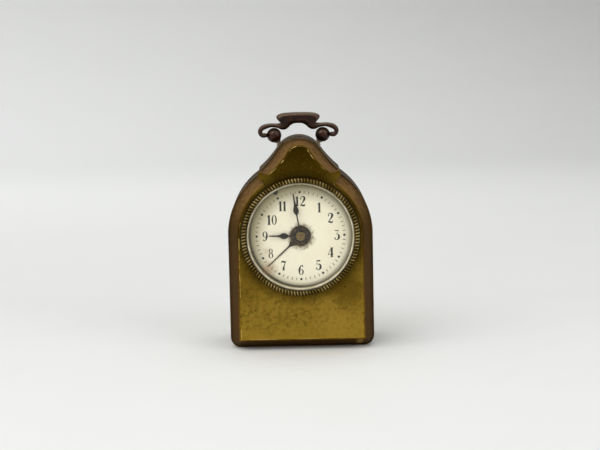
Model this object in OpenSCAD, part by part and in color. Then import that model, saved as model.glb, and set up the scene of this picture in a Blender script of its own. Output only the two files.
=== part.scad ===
// Brass travel alarm clock with an ogee hood, a bail handle and a key-wound movement behind a rear door.
// Millimetres. The origin is the middle of the base, +Z is up and the dial faces -Y.

/* [Case] */
// Width of the case at its widest
case_w = 58; // [56:0.5:64]
// Depth of the case from the front face to the back edge
case_d = 36; // [35:0.5:44]
// Height of the dial centre above the table
dial_z = 45.8; // [45:0.2:52]
// Thickness of the sheet brass of the case
sheet = 0.8; // [0.6:0.05:1]
// Width of the sloping border round the flat front
border_w = 4.6; // [4:0.1:5]
// How far the sloping border goes back from the flat front
border_d = 8; // [6:0.5:10]
// Radius of the lower corners, seen from the front
corner_r = 6.2; // [6.2:0.1:9]
// Height of the hood's top above the arch of the case
hood_rise = 9.8; // [9:0.1:12]
// Half of the hood's width at its ears
ear_half = 16.3; // [16:0.1:17]

/* [Dial and bezel] */
// Distance from the milled bezel to the edge of the case
bezel_margin = 5.3; // [5:0.1:5.6]
// How far the bezel stands out from the face
bezel_out = 2.9; // [2.4:0.1:3.4]
// Number of ribs milled round the bezel
bezel_ribs = 115; // [90:1:130]
// Width of the bezel and the ring inside it, as seen from the front
bezel_w = 3.4; // [3.1:0.1:4.2]
// Depth of the dial behind the flat front
dial_back = 2.4; // [2:0.1:2.8]
// How far the minute hand ends inside the visible dial's edge
minute_short = 2.7; // [1.8:0.1:5]
// How far the hour hand ends inside the visible dial's edge
hour_short = 7.5; // [6.5:0.1:10]
// How far the alarm needle ends inside the visible dial's edge
alarm_short = 2.3; // [1.8:0.1:5]

/* [Handle] */
// Diameter of the two balls that carry the handle
ball_d = 5.9; // [5.4:0.1:6.4]
// Distance of each ball from the middle
ball_x = 9.8; // [9.4:0.1:10.2]
// Height of the handle's pivot above the hood's top
pivot_up = 0.3; // [0.2:0.1:1.5]
// Height of the grip's top above the pivot
grip_top = 9.2; // [9:0.1:10]
// Half of the length of the grip
grip_half = 8.8; // [8.4:0.1:9.2]
// Width of the handle strap, front to back
strap_w = 6.4; // [5:0.1:7]
// Radius of the handle's pivot pins
handle_pin_r = 0.8; // [0.6:0.05:0.95]

/* [Movement] */
// Half of the width of the square movement plates
plate_half = 19; // [18.6:0.1:19.2]
// Thickness of each movement plate
plate_t = 1; // [0.8:0.1:1.2]
// Distance between the two plates
plate_gap = 12; // [12:0.5:13]
// Depth of the front plate's face behind the flat front
plate_back = 6.2; // [6.2:0.1:6.6]
// Radius of the going barrel's drum
barrel_drum_r = 7.6; // [7:0.1:7.8]
// Radius of the alarm barrel's drum
alarm_drum_r = 6.8; // [6.2:0.1:7]
// Radius of the balance wheel's rim
balance_r = 5; // [4.4:0.1:5.2]
// Height of the teeth of the winding ratchets
ratchet_tooth = 0.55; // [0.4:0.05:0.6]
// Radius of the bell's mouth
bell_r = 12; // [10:0.5:12.5]
// Height of the bell's mouth above the base plate
bell_low = 6.5; // [5:0.5:9]

/* [Rear door] */
// Distance from the opening in the back to the edge of the case
opening_margin = 9; // [8.5:0.1:10]
// How far the door overlaps the opening all round
door_lap = 1.5; // [1:0.1:1.6]
// Thickness of the door
door_t = 1; // [0.8:0.1:1.2]
// Radius of the hinge knuckles
knuckle_r = 1.2; // [1:0.1:1.3]
// Radius of the hinge pin
hinge_pin_r = 0.6; // [0.4:0.05:0.7]

/* [Fits] */
// Radial clearance of a pivot or pin in its hole
running = 0.05; // [0.03:0.01:0.08]
// Clearance between parts that pass each other
clear = 0.3; // [0.2:0.01:0.35]

/* [Hidden] */
$fn = 64;

// Places along Y, from the front to the back
face_y = -case_d / 2;
band_y = face_y + border_d;
back_y = case_d / 2;
dial_y = face_y + dial_back;
dial_t = 0.8;
front_plate_y = face_y + plate_back;
gap_y = front_plate_y + plate_t;
back_plate_y = gap_y + plate_gap;
rear_y = back_plate_y + plate_t;
frame_t = 1;
frame_y = back_y - 0.2 - frame_t;

// Outline of the case, seen from the front
arch_r = case_w / 2;
bezel_r = arch_r - bezel_margin;
dial_r = bezel_r - bezel_w;
minute_len = dial_r - minute_short;
hour_len = dial_r - hour_short;
alarm_len = dial_r - alarm_short;
opening_half = arch_r - opening_margin;
apex_z = dial_z + arch_r + hood_rise;
ear_angle = acos(ear_half / arch_r);
hood_top_r = 10.5;
hood_top_turn = 56;
hood_low_turn = 42;
eave_in = 0.8;
// The hollow slope ends at the eave, just inside the ear
hood_run = ear_half - eave_in - hood_top_r * sin(hood_top_turn);
hood_low_r = hood_run / (sin(hood_top_turn) - sin(hood_low_turn));
arch_steps = 18;
hood_steps = 8;
corner_steps = 8;
lip = 0.5;
hood_border = 2.6;
flange = 0.6;
ear_h = 1.2;
rim_d = 2.5;
seam = 0.05;
rim_in = sheet + seam;
base_t = sheet;

// Points of one half of an ogee: a round top that swings over into a hollow slope
function ogee(apex, top_r, turn, low_r, last) =
    let (x = top_r * sin(turn), z = apex - top_r * (1 - cos(turn)))
    let (cx = x + low_r * sin(turn), cz = z + low_r * cos(turn))
    concat(
        [for (i = [0:hood_steps]) let (s = turn - (turn - last) * (hood_steps - i) / hood_steps)
            [cx - low_r * sin(s), cz - low_r * cos(s)]],
        [for (i = [1:hood_steps]) let (s = turn * (hood_steps - i) / hood_steps)
            [top_r * sin(s), apex - top_r * (1 - cos(s))]]);

// Points of the right side up to the ear: rounded corner, straight side, arch
function side(inset) = concat(
    [for (i = [0:corner_steps]) let (a = -90 + 90 * i / corner_steps)
        [arch_r - corner_r, corner_r] + (corner_r - inset) * [cos(a), sin(a)]],
    [for (i = [0:arch_steps]) let (a = ear_angle * i / arch_steps)
        [(arch_r - inset) * cos(a), dial_z + (arch_r - inset) * sin(a)]]);

// The ear: a short upright between the arch and the eave of the hood
function ear(inset) = let (x = ear_half - inset, r = arch_r - inset)
    [[x, dial_z + sqrt(r * r - x * x) + 0.05], [x, dial_z + sqrt(r * r - x * x) + ear_h]];

function mirrored(pts) = concat(pts, [for (i = [len(pts) - 2:-1:0]) [-pts[i][0], pts[i][1]]]);

// Outline of the sheet at an inset from the outside
function outline(inset) = mirrored(concat(side(inset), ear(inset),
    ogee(apex_z - inset, hood_top_r - inset, hood_top_turn, hood_low_r + inset, hood_low_turn)));

// A flat shape drawn as seen from the front, made solid from y0 back to y1
module slab(y0, y1) {
    translate([0, y1, 0]) rotate([90, 0, 0]) linear_extrude(y1 - y0) children();
}

// The same, with the middle of the drawing at a place of the movement
module slab_at(p, y0, y1) {
    translate([p[0], y1, dial_z + p[1]]) rotate([90, 0, 0]) linear_extrude(y1 - y0) children();
}

// A round rod along Y at a place of the movement
module rod(p, r, y0, y1) {
    translate([p[0], y1, dial_z + p[1]]) rotate([90, 0, 0]) cylinder(h = y1 - y0, r = r);
}

// A turned piece round Y from a profile of radius and distance in front of y
module turned(p, y) {
    translate([p[0], y, dial_z + p[1]]) rotate([90, 0, 0]) rotate_extrude($fn = 96) children();
}

function arc(c, r, a0, a1, n) = [for (i = [0:n]) let (a = a0 + (a1 - a0) * i / n) c + r * [cos(a), sin(a)]];
function polar(c, d, a) = [c[0] + d * cos(a), c[1] + d * sin(a)];

// Wheels: teeth, module in millimetres and the distance between two that mesh
centre_teeth = 48;
third_leaves = 8;
third_teeth = 48;
fourth_leaves = 6;
fourth_teeth = 60;
escape_leaves = 6;
escape_teeth = 15;
barrel_teeth = 56;
centre_leaves = 8;
cannon_teeth = 12;
minute_teeth = 36;
minute_leaves = 10;
hour_teeth = 40;
alarm_barrel_teeth = 50;
alarm_leaves = 8;
alarm_wheel_teeth = 60;
alarm_set_leaves = 12;
module_a = 0.3;
module_b = 0.26;
module_c = 0.2;
module_d = 0.25;
module_e = 0.24;
function reach(a, b, m) = (a + b) * m / 2;

// Turn of a second wheel whose gap faces the tooth of a first one
function mesh_turn(line, turn, a, b) = line + 180 + ((line - turn) * a / 360 + 0.5) * 360 / b;

// Places of the arbors, from the dial centre
centre = [0, 0];
barrel_line = 219.5;
barrel_at = polar(centre, reach(barrel_teeth, centre_leaves, module_a), barrel_line);
third_line = 90;
third_at = polar(centre, reach(centre_teeth, third_leaves, module_a), third_line);
fourth_line = 37;
fourth_at = polar(third_at, reach(third_teeth, fourth_leaves, module_b), fourth_line);
escape_line = -24;
escape_at = polar(fourth_at, reach(fourth_teeth, escape_leaves, module_c), escape_line);
pallet_line = -54;
pallet_dist = 4.4;
pallet_at = polar(escape_at, pallet_dist, pallet_line);
balance_line = 202;
balance_dist = 6.5;
balance_at = polar(pallet_at, balance_dist, balance_line);
minute_line = 45;
minute_at = polar(centre, reach(cannon_teeth, minute_teeth, module_d), minute_line);
alarm_set_line = 150;
alarm_set_at = polar(centre, reach(alarm_wheel_teeth, alarm_set_leaves, module_e), alarm_set_line);
alarm_barrel_at = [10.2, -8.6];
alarm_escape_line = 200;
alarm_escape_reach = reach(alarm_barrel_teeth, alarm_leaves, module_a);
alarm_escape_at = polar(alarm_barrel_at, alarm_escape_reach, alarm_escape_line);
verge_drop = 4.2;
verge_at = alarm_escape_at - [0, verge_drop];
stop_at = [-3.6, -16];
click_dist = 4.9;
going_click_line = 250;
going_click_at = polar(barrel_at, click_dist, going_click_line);
alarm_click_line = -60;
alarm_click_at = polar(alarm_barrel_at, click_dist, alarm_click_line);

// Turns of the wheels that make their teeth mesh as drawn
third_turn = mesh_turn(third_line, 0, centre_teeth, third_leaves);
fourth_turn = mesh_turn(fourth_line, third_turn, third_teeth, fourth_leaves);
escape_turn = mesh_turn(escape_line, fourth_turn, fourth_teeth, escape_leaves);
barrel_turn = mesh_turn(barrel_line, 0, centre_leaves, barrel_teeth);
minute_turn = mesh_turn(minute_line, 0, cannon_teeth, minute_teeth);
hour_turn = mesh_turn(minute_line + 180, minute_turn, minute_leaves, hour_teeth);
alarm_wheel_turn = 0;
alarm_set_turn = mesh_turn(alarm_set_line, alarm_wheel_turn, alarm_wheel_teeth, alarm_set_leaves);
alarm_escape_turn = mesh_turn(alarm_escape_line, 0, alarm_barrel_teeth, alarm_leaves);

// Radii of arbors, pivots and pipes
arbor_r = 0.5;
pivot_r = 0.35;
centre_r = 0.6;
cannon_r = 0.95;
hour_pipe_r = 1.35;
alarm_pipe_r = 1.75;
winding_r = 0.9;
stud_r = 0.4;
square_half = 0.6;

// Layers of the movement along Y
wheel_t = 0.7;
centre_wheel_y = gap_y + 0.6;
drum_y0 = centre_wheel_y + 1.5;
drum_y1 = back_plate_y - 0.6;
barrel_teeth_y = drum_y1 - 1.6;
third_wheel_y = gap_y + 4.4;
fourth_wheel_y = gap_y + 7.4;
escape_wheel_y = gap_y + 2.4;
cannon_y = front_plate_y - 0.9;
hour_y = cannon_y - 0.8;
alarm_wheel_y = hour_y - 0.9;
under_t = 0.5;
disc_y = dial_y - 0.5;
hour_hand_y = disc_y - 0.7;
minute_hand_y = hour_hand_y - 0.6;
hand_t = 0.25;
tip_y = minute_hand_y - 0.5;
ratchet_y = rear_y + 0.25;
ratchet_t = 0.9;
key_y = rear_y + 5.6;
key_end = frame_y - 1.4;
fork_y = rear_y + 0.4;
balance_y = rear_y + 1.7;
spring_y = rear_y + 3.1;
cock_y = rear_y + 5;
cock_t = 0.8;
knob_y = rear_y + 6.6;

// A toothed wheel's outline: straight-sided teeth with rounded-off tips left as flats
module teeth(n, m, turn) {
    r = n * m / 2;
    tip = r + 0.9 * m;
    root = r - 1.2 * m;
    step = 360 / n;
    polygon([for (i = [0:n - 1]) for (k = [[root, -0.27], [r, -0.19], [tip, -0.07], [tip, 0.07], [r, 0.19],
        [root, 0.27]]) let (a = turn + step * (i + k[1])) k[0] * [cos(a), sin(a)]]);
}

// A wheel with its rim, crossings and hub, flat as seen from the front
module wheel(n, m, turn, spokes, hole_r) {
    rim = n * m / 2 - 1.2 * m - 0.8;
    hub = 1.5;
    spoke_w = 0.7;
    difference() {
        teeth(n, m, turn);
        difference() {
            circle(rim);
            circle(hub);
            for (i = [0:spokes - 1]) rotate(turn + 360 * i / spokes)
                translate([0, -spoke_w / 2]) square([rim + 1, spoke_w]);
        }
        circle(hole_r);
    }
}

// A ratchet wheel's outline: saw teeth
module saw(n, r, deep, turn) {
    polygon([for (i = [0:n - 1]) for (k = [[r, 0], [r - deep, 0.12]]) let (a = turn + 360 * (i + k[1]) / n)
        k[0] * [cos(a), sin(a)]]);
}

// A flat spiral ribbon: the radius grows steadily with the turn
module spiral(r0, r1, turns, width, start) {
    steps = turns * 20;
    function at(i, off) = let (a = start + 360 * turns * i / steps, r = r0 + (r1 - r0) * i / steps + off)
        r * [cos(a), sin(a)];
    polygon(concat([for (i = [0:steps]) at(i, -width / 2)], [for (i = [steps:-1:0]) at(i, width / 2)]));
}

// Case

// Section of the pressed wall as insets and distances in front of the case's middle: a strip of the flat
// front, the slope to the back and the rim that slips into the band
function wall(width) =
    let (fall = width - lip, thick = sheet * norm([fall, border_d]) / border_d)
    [[width + flange, -face_y], [width, -face_y], [lip, -band_y], [rim_in, -band_y],
        [rim_in, -band_y - rim_d], [rim_in + sheet, -band_y - rim_d],
        [rim_in + sheet, -face_y - border_d * (width - rim_in - sheet + thick) / fall],
        [width - fall * sheet / border_d + thick, -face_y - sheet], [width + flange, -face_y - sheet]];

// The wall carried round a centre from one angle to another; a hollow curve has its insets outwards
module wall_arc(c, r, way, from, to, width) {
    translate([c[0], 0, c[1]]) rotate([90, 0, 0]) rotate([0, 0, from])
        rotate_extrude(angle = to - from, $fn = 96) polygon([for (p = wall(width)) [r - way * p[0], p[1]]]);
}

module bottom_wall() {
    rotate([90, 0, 90]) linear_extrude(2 * (arch_r - corner_r), center = true)
        polygon([for (p = wall(border_w)) [-p[1], p[0]]]);
}

// Right side and arch walls, with the lower corner
module side_wall() {
    wall_arc([arch_r - corner_r, corner_r], corner_r, 1, -90, 0, border_w);
    translate([0, 0, corner_r]) linear_extrude(dial_z - corner_r)
        polygon([for (p = wall(border_w)) [arch_r - p[0], -p[1]]]);
    wall_arc([0, dial_z], arch_r, 1, 0, ear_angle, border_w);
}

// Right hollow slope of the hood's wall
module hood_slope() {
    bend = [hood_top_r * sin(hood_top_turn), apex_z - hood_top_r * (1 - cos(hood_top_turn))];
    c = bend + hood_low_r * [sin(hood_top_turn), cos(hood_top_turn)];
    wall_arc(c, hood_low_r, -1, 270 - hood_top_turn, 270 - hood_low_turn, hood_border);
}

// The hood's round top
module hood_top() {
    wall_arc([0, apex_z - hood_top_r], hood_top_r, 1, 90 - hood_top_turn, 90 + hood_top_turn, hood_border);
}

// Right ear of the hood: a flat tab, and its upright and eave turned back as far as the band
module ear_tab() {
    out = [cos(ear_angle), sin(ear_angle)];
    inward = -[sin(hood_low_turn), cos(hood_low_turn)];
    arch_end = [0, dial_z] + arch_r * out;
    top = arch_end + [0, ear_h];
    eave = ogee(apex_z, hood_top_r, hood_top_turn, hood_low_r, hood_low_turn)[0];
    slab(face_y, face_y + sheet) polygon([arch_end, top, eave, eave + (hood_border + flange) * inward,
        arch_end - (border_w + flange) * out]);
    slab(face_y, band_y) polygon([arch_end, top, eave, eave + sheet * inward, top - sheet * [1, 0.3],
        arch_end - sheet * out]);
}

// The flat front with its hole for the bezel, and the walls behind its edge
module front_shell() {
    edge = hood_border + flange / 2;
    color("#83691f") {
        slab(face_y, face_y + sheet) difference() {
            polygon(mirrored(concat(side(border_w + flange / 2),
                ogee(apex_z - edge, hood_top_r - edge, hood_top_turn, hood_low_r + edge, hood_low_turn))));
            translate([0, dial_z]) circle(bezel_in + 0.15, $fn = 96);
        }
        for (m = [0, 1]) mirror([m, 0, 0]) {
            side_wall();
            hood_slope();
            ear_tab();
        }
        hood_top();
        bottom_wall();
    }
}

module case_band() {
    color("#4e3a1c") difference() {
        slab(band_y, back_y) difference() {
            polygon(outline(0));
            polygon(outline(sheet));
            translate([corner_r - arch_r, -1]) square([2 * (arch_r - corner_r), sheet + 2]);
        }
        post_stems(post_stem_r + seam);
    }
}

// The base plate closes the band between its lower corners
module base_plate() {
    x = arch_r - corner_r - seam;
    color("#3a2b12") translate([-x, band_y + 0.3, 0]) cube([2 * x, back_y - band_y - 0.3, base_t]);
}

// Opening in the back: upright sides under a half circle
module opening_shape(half, low) {
    translate([0, dial_z]) circle(half);
    translate([-half, low]) square([2 * half, dial_z - low]);
}

opening_low = 7;
hinge_x = -(opening_half + door_lap + 1.4);
hinge_y = frame_y + frame_t + knuckle_r + 0.1;
hinge_low = 14;
knuckle_h = 6;

// Each knuckle is cut a little short at both ends so that it turns beside its neighbours
knuckle_cut = 0.05;
hinge_h = 5 * knuckle_h;

module knuckles(which) {
    for (i = which) translate([hinge_x, hinge_y, hinge_low + i * knuckle_h + knuckle_cut])
        cylinder(h = knuckle_h - 2 * knuckle_cut, r = knuckle_r);
}

// Straight tongues that join knuckles to a sheet at y
module tongues(which, x, y, wide, deep) {
    for (i = which) translate([x, y, hinge_low + i * knuckle_h + knuckle_cut])
        cube([wide, deep, knuckle_h - 2 * knuckle_cut]);
}

module hinge_bore(r) {
    translate([hinge_x, hinge_y, hinge_low - 1]) cylinder(h = hinge_h + 2, r = r);
}

module back_frame() {
    color("#57451c") difference() {
        union() {
            slab(frame_y, frame_y + frame_t) difference() {
                polygon(outline(rim_in));
                opening_shape(opening_half, opening_low);
            }
            knuckles([0, 2, 4]);
            tongues([0, 2, 4], hinge_x - 1, frame_y + frame_t / 2, 2, hinge_y - frame_y - frame_t / 2);
        }
        hinge_bore(hinge_pin_r);
    }
}

module hinge_pin() {
    color("#6f5a26") translate([hinge_x, hinge_y, hinge_low]) {
        cylinder(h = hinge_h, r = hinge_pin_r);
        translate([0, 0, -0.6]) cylinder(h = 0.6, r = knuckle_r * 0.8);
    }
}

door_y = frame_y + frame_t + 0.1;
knob_x = opening_half - 2;
door_knob_z = 36;
knob_stem_r = 0.6;

module rear_door() {
    color("#80662a") difference() {
        union() {
            slab(door_y, door_y + door_t) opening_shape(opening_half + door_lap, opening_low - door_lap);
            knuckles([1, 3]);
            tongues([1, 3], hinge_x, door_y, 2.4, door_t);
        }
        hinge_bore(hinge_pin_r + running);
        translate([knob_x, door_y - 1, door_knob_z]) rotate([-90, 0, 0])
            cylinder(h = door_t + 2, r = knob_stem_r);
    }
}

module door_knob() {
    color("#9a8140") translate([knob_x, door_y, door_knob_z]) rotate([-90, 0, 0])
        rotate_extrude() polygon(concat(
            [[0, 0], [knob_stem_r, 0], [knob_stem_r, door_t], [1.3, door_t], [0.7, door_t + 0.6],
                [0.7, door_t + 1.1]],
            arc([0.6, door_t + 2], 0.9, -80, 90, 8), [[0, door_t + 2.9]]));
}

// Bezel, glass and dial

bezel_in = dial_r + 1.1;
bezel_step = 0.7;
rib_h = 0.3;

// The bezel is a stepped ring milled all round, with a collar that holds it in the hole of the front
module bezel() {
    color("#8e7f45") difference() {
        union() {
            slab_at(centre, face_y - bezel_out, face_y) rib_ring(bezel_r - bezel_step);
            slab_at(centre, face_y - bezel_out + bezel_step, face_y) rib_ring(bezel_r);
            rod(centre, bezel_in + 0.12, face_y - 0.1, face_y + sheet + 0.8);
        }
        rod(centre, bezel_in, face_y - bezel_out - 1, face_y + 3);
    }
}

// Outline of a ring with ribs and grooves of even width
module rib_ring(r) {
    polygon([for (i = [0:bezel_ribs - 1])
        for (k = [[r - rib_h, -0.25], [r, -0.2], [r, 0.2], [r - rib_h, 0.25]])
        let (a = 360 * (i + k[1]) / bezel_ribs) k[0] * [cos(a), sin(a)]]);
}

ring_front = 0.9;
glass_y = face_y - 1.4;

module sight_ring() {
    outer = bezel_in - 0.05;
    color("#d9cfae") turned(centre, dial_y) polygon([[dial_r, 0.05], [outer, 0.05],
        [outer, dial_y - face_y + ring_front], [outer - 0.3, dial_y - face_y + ring_front], [dial_r, 0.4]]);
}

module glass() {
    edge = bezel_in - 0.1;
    crown = 126;
    low = sqrt(crown * crown - edge * edge);
    color("#dfe9e4", 0.3) turned(centre, glass_y) translate([0, -low]) intersection() {
        difference() {
            circle(crown + 0.6, $fn = 720);
            circle(crown, $fn = 720);
        }
        translate([0, low]) square([edge, crown]);
    }
}

foot_x = 16;
foot_r = 0.7;

// The dial has two feet that sit in the front plate
module dial() {
    color("#efe6c6") difference() {
        union() {
            rod(centre, dial_r + 0.9, dial_y, dial_y + dial_t);
            for (x = [-1, 1]) rod([x * foot_x, 0], foot_r, dial_y + dial_t / 2, front_plate_y + plate_t);
        }
        rod(centre, alarm_pipe_r + running, dial_y - 1, dial_y + dial_t + 1);
    }
}

// Handle

post_foot_x = 7.6;
post_stem_r = 0.9;
pivot_z = apex_z + pivot_up;
ball_r = ball_d / 2;
post_foot_turn = asin(post_foot_x / hood_top_r);
post_foot_z = apex_z - hood_top_r * (1 - cos(post_foot_turn));
post_lean = atan2(ball_x - post_foot_x, pivot_z - post_foot_z);
post_len = norm([ball_x - post_foot_x, pivot_z - post_foot_z]);

// The stems run from inside the roof to the balls, leaning outwards
module post_stems(r) {
    for (s = [-1, 1]) translate([s * ball_x, 0, pivot_z]) rotate([0, 180 + s * post_lean, 0])
        cylinder(h = post_len + 1.6, r = r);
}

module ball_posts() {
    color("#2a1a0d") difference() {
        union() {
            for (s = [-1, 1]) translate([s * ball_x, 0, pivot_z]) {
                sphere(ball_r);
                rotate([0, 180 + s * post_lean, 0]) cylinder(h = ball_r + 0.5, r = post_stem_r + 0.45);
            }
            post_stems(post_stem_r);
        }
        for (s = [-1, 1]) translate([s * (ball_x - 1.2), 0, pivot_z]) rotate([0, s * 90, 0])
            cylinder(h = ball_r + 3, r = handle_pin_r + running);
    }
}

leg_x = ball_x + ball_r + clear;
leg_t = 1.8;
curl_r = 2.5;
curl_c = [leg_x + 0.8, 1.6];
wing_z = curl_c[1] + 3.15;
grip_crown = 0.7;
grip_end_r = 1.3;
grip_end = [grip_half - grip_end_r, grip_top - grip_crown - 1.2];
neck_x = grip_half - 1.9;
over_ball = ball_r + clear + 0.05;
grip_under = 5.6;

// Right half of the handle seen from the front, above the pivot: the crowned grip, the neck, the wing and its
// curl down to the pivot, and back over the ball to the arch under the grip
handle_half = concat(
    [[0, grip_top], [grip_half * 0.35, grip_top - grip_crown * 0.1],
        [grip_half * 0.7, grip_top - grip_crown / 2], [grip_end[0] + 0.3, grip_top - grip_crown]],
    arc(grip_end, grip_end_r, 60, -75, 8),
    [[neck_x, grip_end[1] - 1.7], [neck_x - 0.2, wing_z + 0.4], [neck_x + 0.2, wing_z + 0.1],
        [neck_x + 3, wing_z]],
    arc(curl_c, curl_r, 75, -90, 12),
    [[leg_x, curl_c[1] - curl_r], [leg_x, curl_c[1] - curl_r + leg_t]],
    arc(curl_c, curl_r - leg_t, -90, 80, 6),
    [[curl_c[0] - 2, wing_z - 1.7], [ball_x, over_ball], [ball_x - 1.4, over_ball - 0.4],
        [ball_x - 2.6, over_ball - 0.8], [ball_x - 3.8, over_ball - 0.75]],
    [[4.6, grip_under - 2.5], [3.4, grip_under - 1.6], [2.4, grip_under - 0.8], [1.2, grip_under - 0.1],
        [0, grip_under + 0.1]]);
handle_left = [for (i = [len(handle_half) - 2:-1:1]) [-handle_half[i][0], handle_half[i][1]]];

module handle() {
    color("#3a2116") {
        translate([0, strap_w / 2, pivot_z]) rotate([90, 0, 0]) linear_extrude(strap_w)
            polygon(concat(handle_half, handle_left));
        for (s = [-1, 1]) translate([s * (ball_x - 1), 0, pivot_z]) rotate([0, s * 90, 0])
            cylinder(h = leg_x - ball_x + 1.2, r = handle_pin_r);
    }
}

// Movement frame

pillar_at = plate_half - 2.7;
pillar_r = 1.3;
post_low = [12, -22.5];
post_high = [0, 24.4];
post_r = 1.2;
corner_cut = 25;
plate_ear = 2;
screw_r = 0.6;
screw_head_r = 1.1;
screw_grip = 3;
cock_screw_r = 0.5;
shoulder_r = 0.5;
shoulder_thread_r = 0.4;
small_head_r = 0.95;
slot_w = 0.24;

// The front plate is square with cut corners, and has an ear at the top and two below for the case posts
module plate_shape() {
    intersection() {
        square(2 * plate_half, center = true);
        circle(corner_cut);
    }
    translate([-plate_ear, 0]) square([2 * plate_ear, post_high[1]]);
    for (x = [-1, 1]) translate([x * post_low[0] - plate_ear, post_low[1]])
        square([2 * plate_ear, -post_low[1]]);
    fixing_places() circle(plate_ear);
}

module pillar_places() {
    for (x = [-1, 1]) for (z = [-1, 1]) translate([x * pillar_at, z * pillar_at]) children();
}

module fixing_places() {
    translate(post_high) children();
    for (x = [-1, 1]) translate([x * post_low[0], post_low[1]]) children();
}

// Bearing holes that both plates share
module bearing_holes() {
    for (p = [third_at, fourth_at, escape_at, alarm_escape_at, verge_at])
        translate(p) circle(pivot_r + running);
    for (p = [barrel_at, alarm_barrel_at]) translate(p) circle(winding_r + running);
    translate(alarm_set_at) circle(arbor_r + running);
    pillar_places() circle(screw_r);
}

module front_plate() {
    color("#a88b45") slab_at(centre, front_plate_y, gap_y) difference() {
        plate_shape();
        circle(centre_r + 0.3 + running);
        bearing_holes();
        translate(pallet_at) circle(pivot_r + running);
        translate(minute_at) circle(stud_r + running);
        for (x = [-1, 1]) translate([x * foot_x, 0]) circle(foot_r + 0.02);
        fixing_places() circle(screw_r);
    }
}

module back_plate() {
    color("#a88b45") slab_at(centre, back_plate_y, rear_y) difference() {
        intersection() {
            square(2 * plate_half, center = true);
            circle(corner_cut);
        }
        circle(centre_r + running);
        bearing_holes();
        translate(pallet_at) circle(arbor_r + running);
        translate(balance_at) circle(pivot_r + running);
        for (p = [going_click_at, alarm_click_at, stop_at]) translate(p) circle(shoulder_thread_r);
        for (s = cock_screw_at) translate(s) circle(cock_screw_r);
    }
}

module plate_pillars() {
    color("#b0934e") slab_at(centre, gap_y, back_plate_y) pillar_places() difference() {
        circle(pillar_r);
        circle(screw_r);
    }
}

module case_posts() {
    color("#8f7636") slab_at(centre, face_y + sheet, front_plate_y) fixing_places() difference() {
        circle(post_r);
        circle(screw_r);
    }
}

// Screws along Y with the head behind y and the slot across it
module screw(p, y, len, r, head_r, head_h) {
    color("#7d8088") difference() {
        union() {
            rod(p, r, y - len, y);
            rod(p, head_r, y, y + head_h);
        }
        translate([p[0] - head_r, y + head_h * 0.55, dial_z + p[1] - slot_w / 2])
            cube([2 * head_r, head_h, slot_w]);
    }
}

module plate_screws() {
    for (x = [-1, 1]) for (z = [-1, 1]) {
        screw([x * pillar_at, z * pillar_at], rear_y, plate_t + screw_grip, screw_r, screw_head_r, 0.7);
        translate([0, 2 * front_plate_y, 0]) mirror([0, 1, 0])
            screw([x * pillar_at, z * pillar_at], front_plate_y, plate_t + screw_grip, screw_r,
                screw_head_r, 0.5);
    }
    for (p = [post_high, post_low, [-post_low[0], post_low[1]]])
        screw(p, gap_y, plate_t + screw_grip, screw_r, screw_head_r, 0.7);
}

// Going train

module winding_barrel(p, drum_r, n, turn) {
    slab_at(p, barrel_teeth_y, barrel_teeth_y + 1) difference() {
        teeth(n, module_a, turn);
        circle(drum_r - 0.6);
    }
    difference() {
        rod(p, drum_r, drum_y0, drum_y1);
        rod(p, drum_r - 0.6, drum_y0 + 0.6, drum_y1 - 0.6);
        rod(p, winding_r + running, drum_y0 - 1, drum_y1 + 1);
    }
}

module going_barrel() {
    color("#b3954c") winding_barrel(barrel_at, barrel_drum_r, barrel_teeth, barrel_turn);
}

spring_turns = 7;

module mainspring(p, drum_r) {
    color("#4c5868") slab_at(p, drum_y0 + 1, drum_y1 - 1)
        spiral(winding_r + 0.35, drum_r - 0.75, spring_turns, 0.22, 0);
}

module going_mainspring() {
    mainspring(barrel_at, barrel_drum_r);
}

ratchet_r = 3;
ratchet_n = 20;

// The winding arbor ends in a square that carries the ratchet and the key
module winding_arbor(p) {
    color("#8b8d92") {
        rod(p, winding_r, front_plate_y + 0.1, rear_y + 0.1);
        slab_at(p, rear_y, key_y + 4) square(2 * square_half, center = true);
    }
}

module winding_ratchet(p) {
    color("#9b9da1") slab_at(p, ratchet_y, ratchet_y + ratchet_t) difference() {
        saw(ratchet_n, ratchet_r, ratchet_tooth, 0);
        square(2 * (square_half + 0.01), center = true);
    }
}

key_half = 5.2;
key_hub_r = 1.6;

// A wing key: a hub on the square and two flat rounded wings
module winding_key(p) {
    color("#b59a55") difference() {
        union() {
            rod(p, key_hub_r, key_y, key_y + 3.2);
            translate([p[0], 0, dial_z + p[1]]) linear_extrude(1, center = true) {
                for (s = [-1, 1]) translate([s * (key_half - 2.1), key_end - 2.1]) circle(2.1);
                translate([-(key_half - 2), key_end - 3]) square([2 * (key_half - 2), 2]);
                translate([-key_hub_r * 0.9, key_y + 0.4]) square([key_hub_r * 1.8, key_end - key_y - 2]);
            }
        }
        slab_at(p, key_y - 1, key_y + 4.05) square(2 * (square_half + 0.01), center = true);
    }
}

module going_arbor() {
    winding_arbor(barrel_at);
}

module going_ratchet() {
    winding_ratchet(barrel_at);
}

module going_key() {
    winding_key(barrel_at);
}

click_len = 2.6;
click_turn = 42;

// A click: a round eye on its screw and a finger beside the ratchet
module click(p, line, hand) {
    color("#8f9196") slab_at(p, ratchet_y, ratchet_y + 0.7) difference() {
        union() {
            circle(0.95);
            rotate(line + 180 + hand * click_turn) translate([0, -0.3]) square([click_len, 0.6]);
        }
        circle(shoulder_r + running);
    }
}

module going_click() {
    click(going_click_at, going_click_line, 1);
}

module alarm_click() {
    click(alarm_click_at, alarm_click_line, -1);
}

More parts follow.
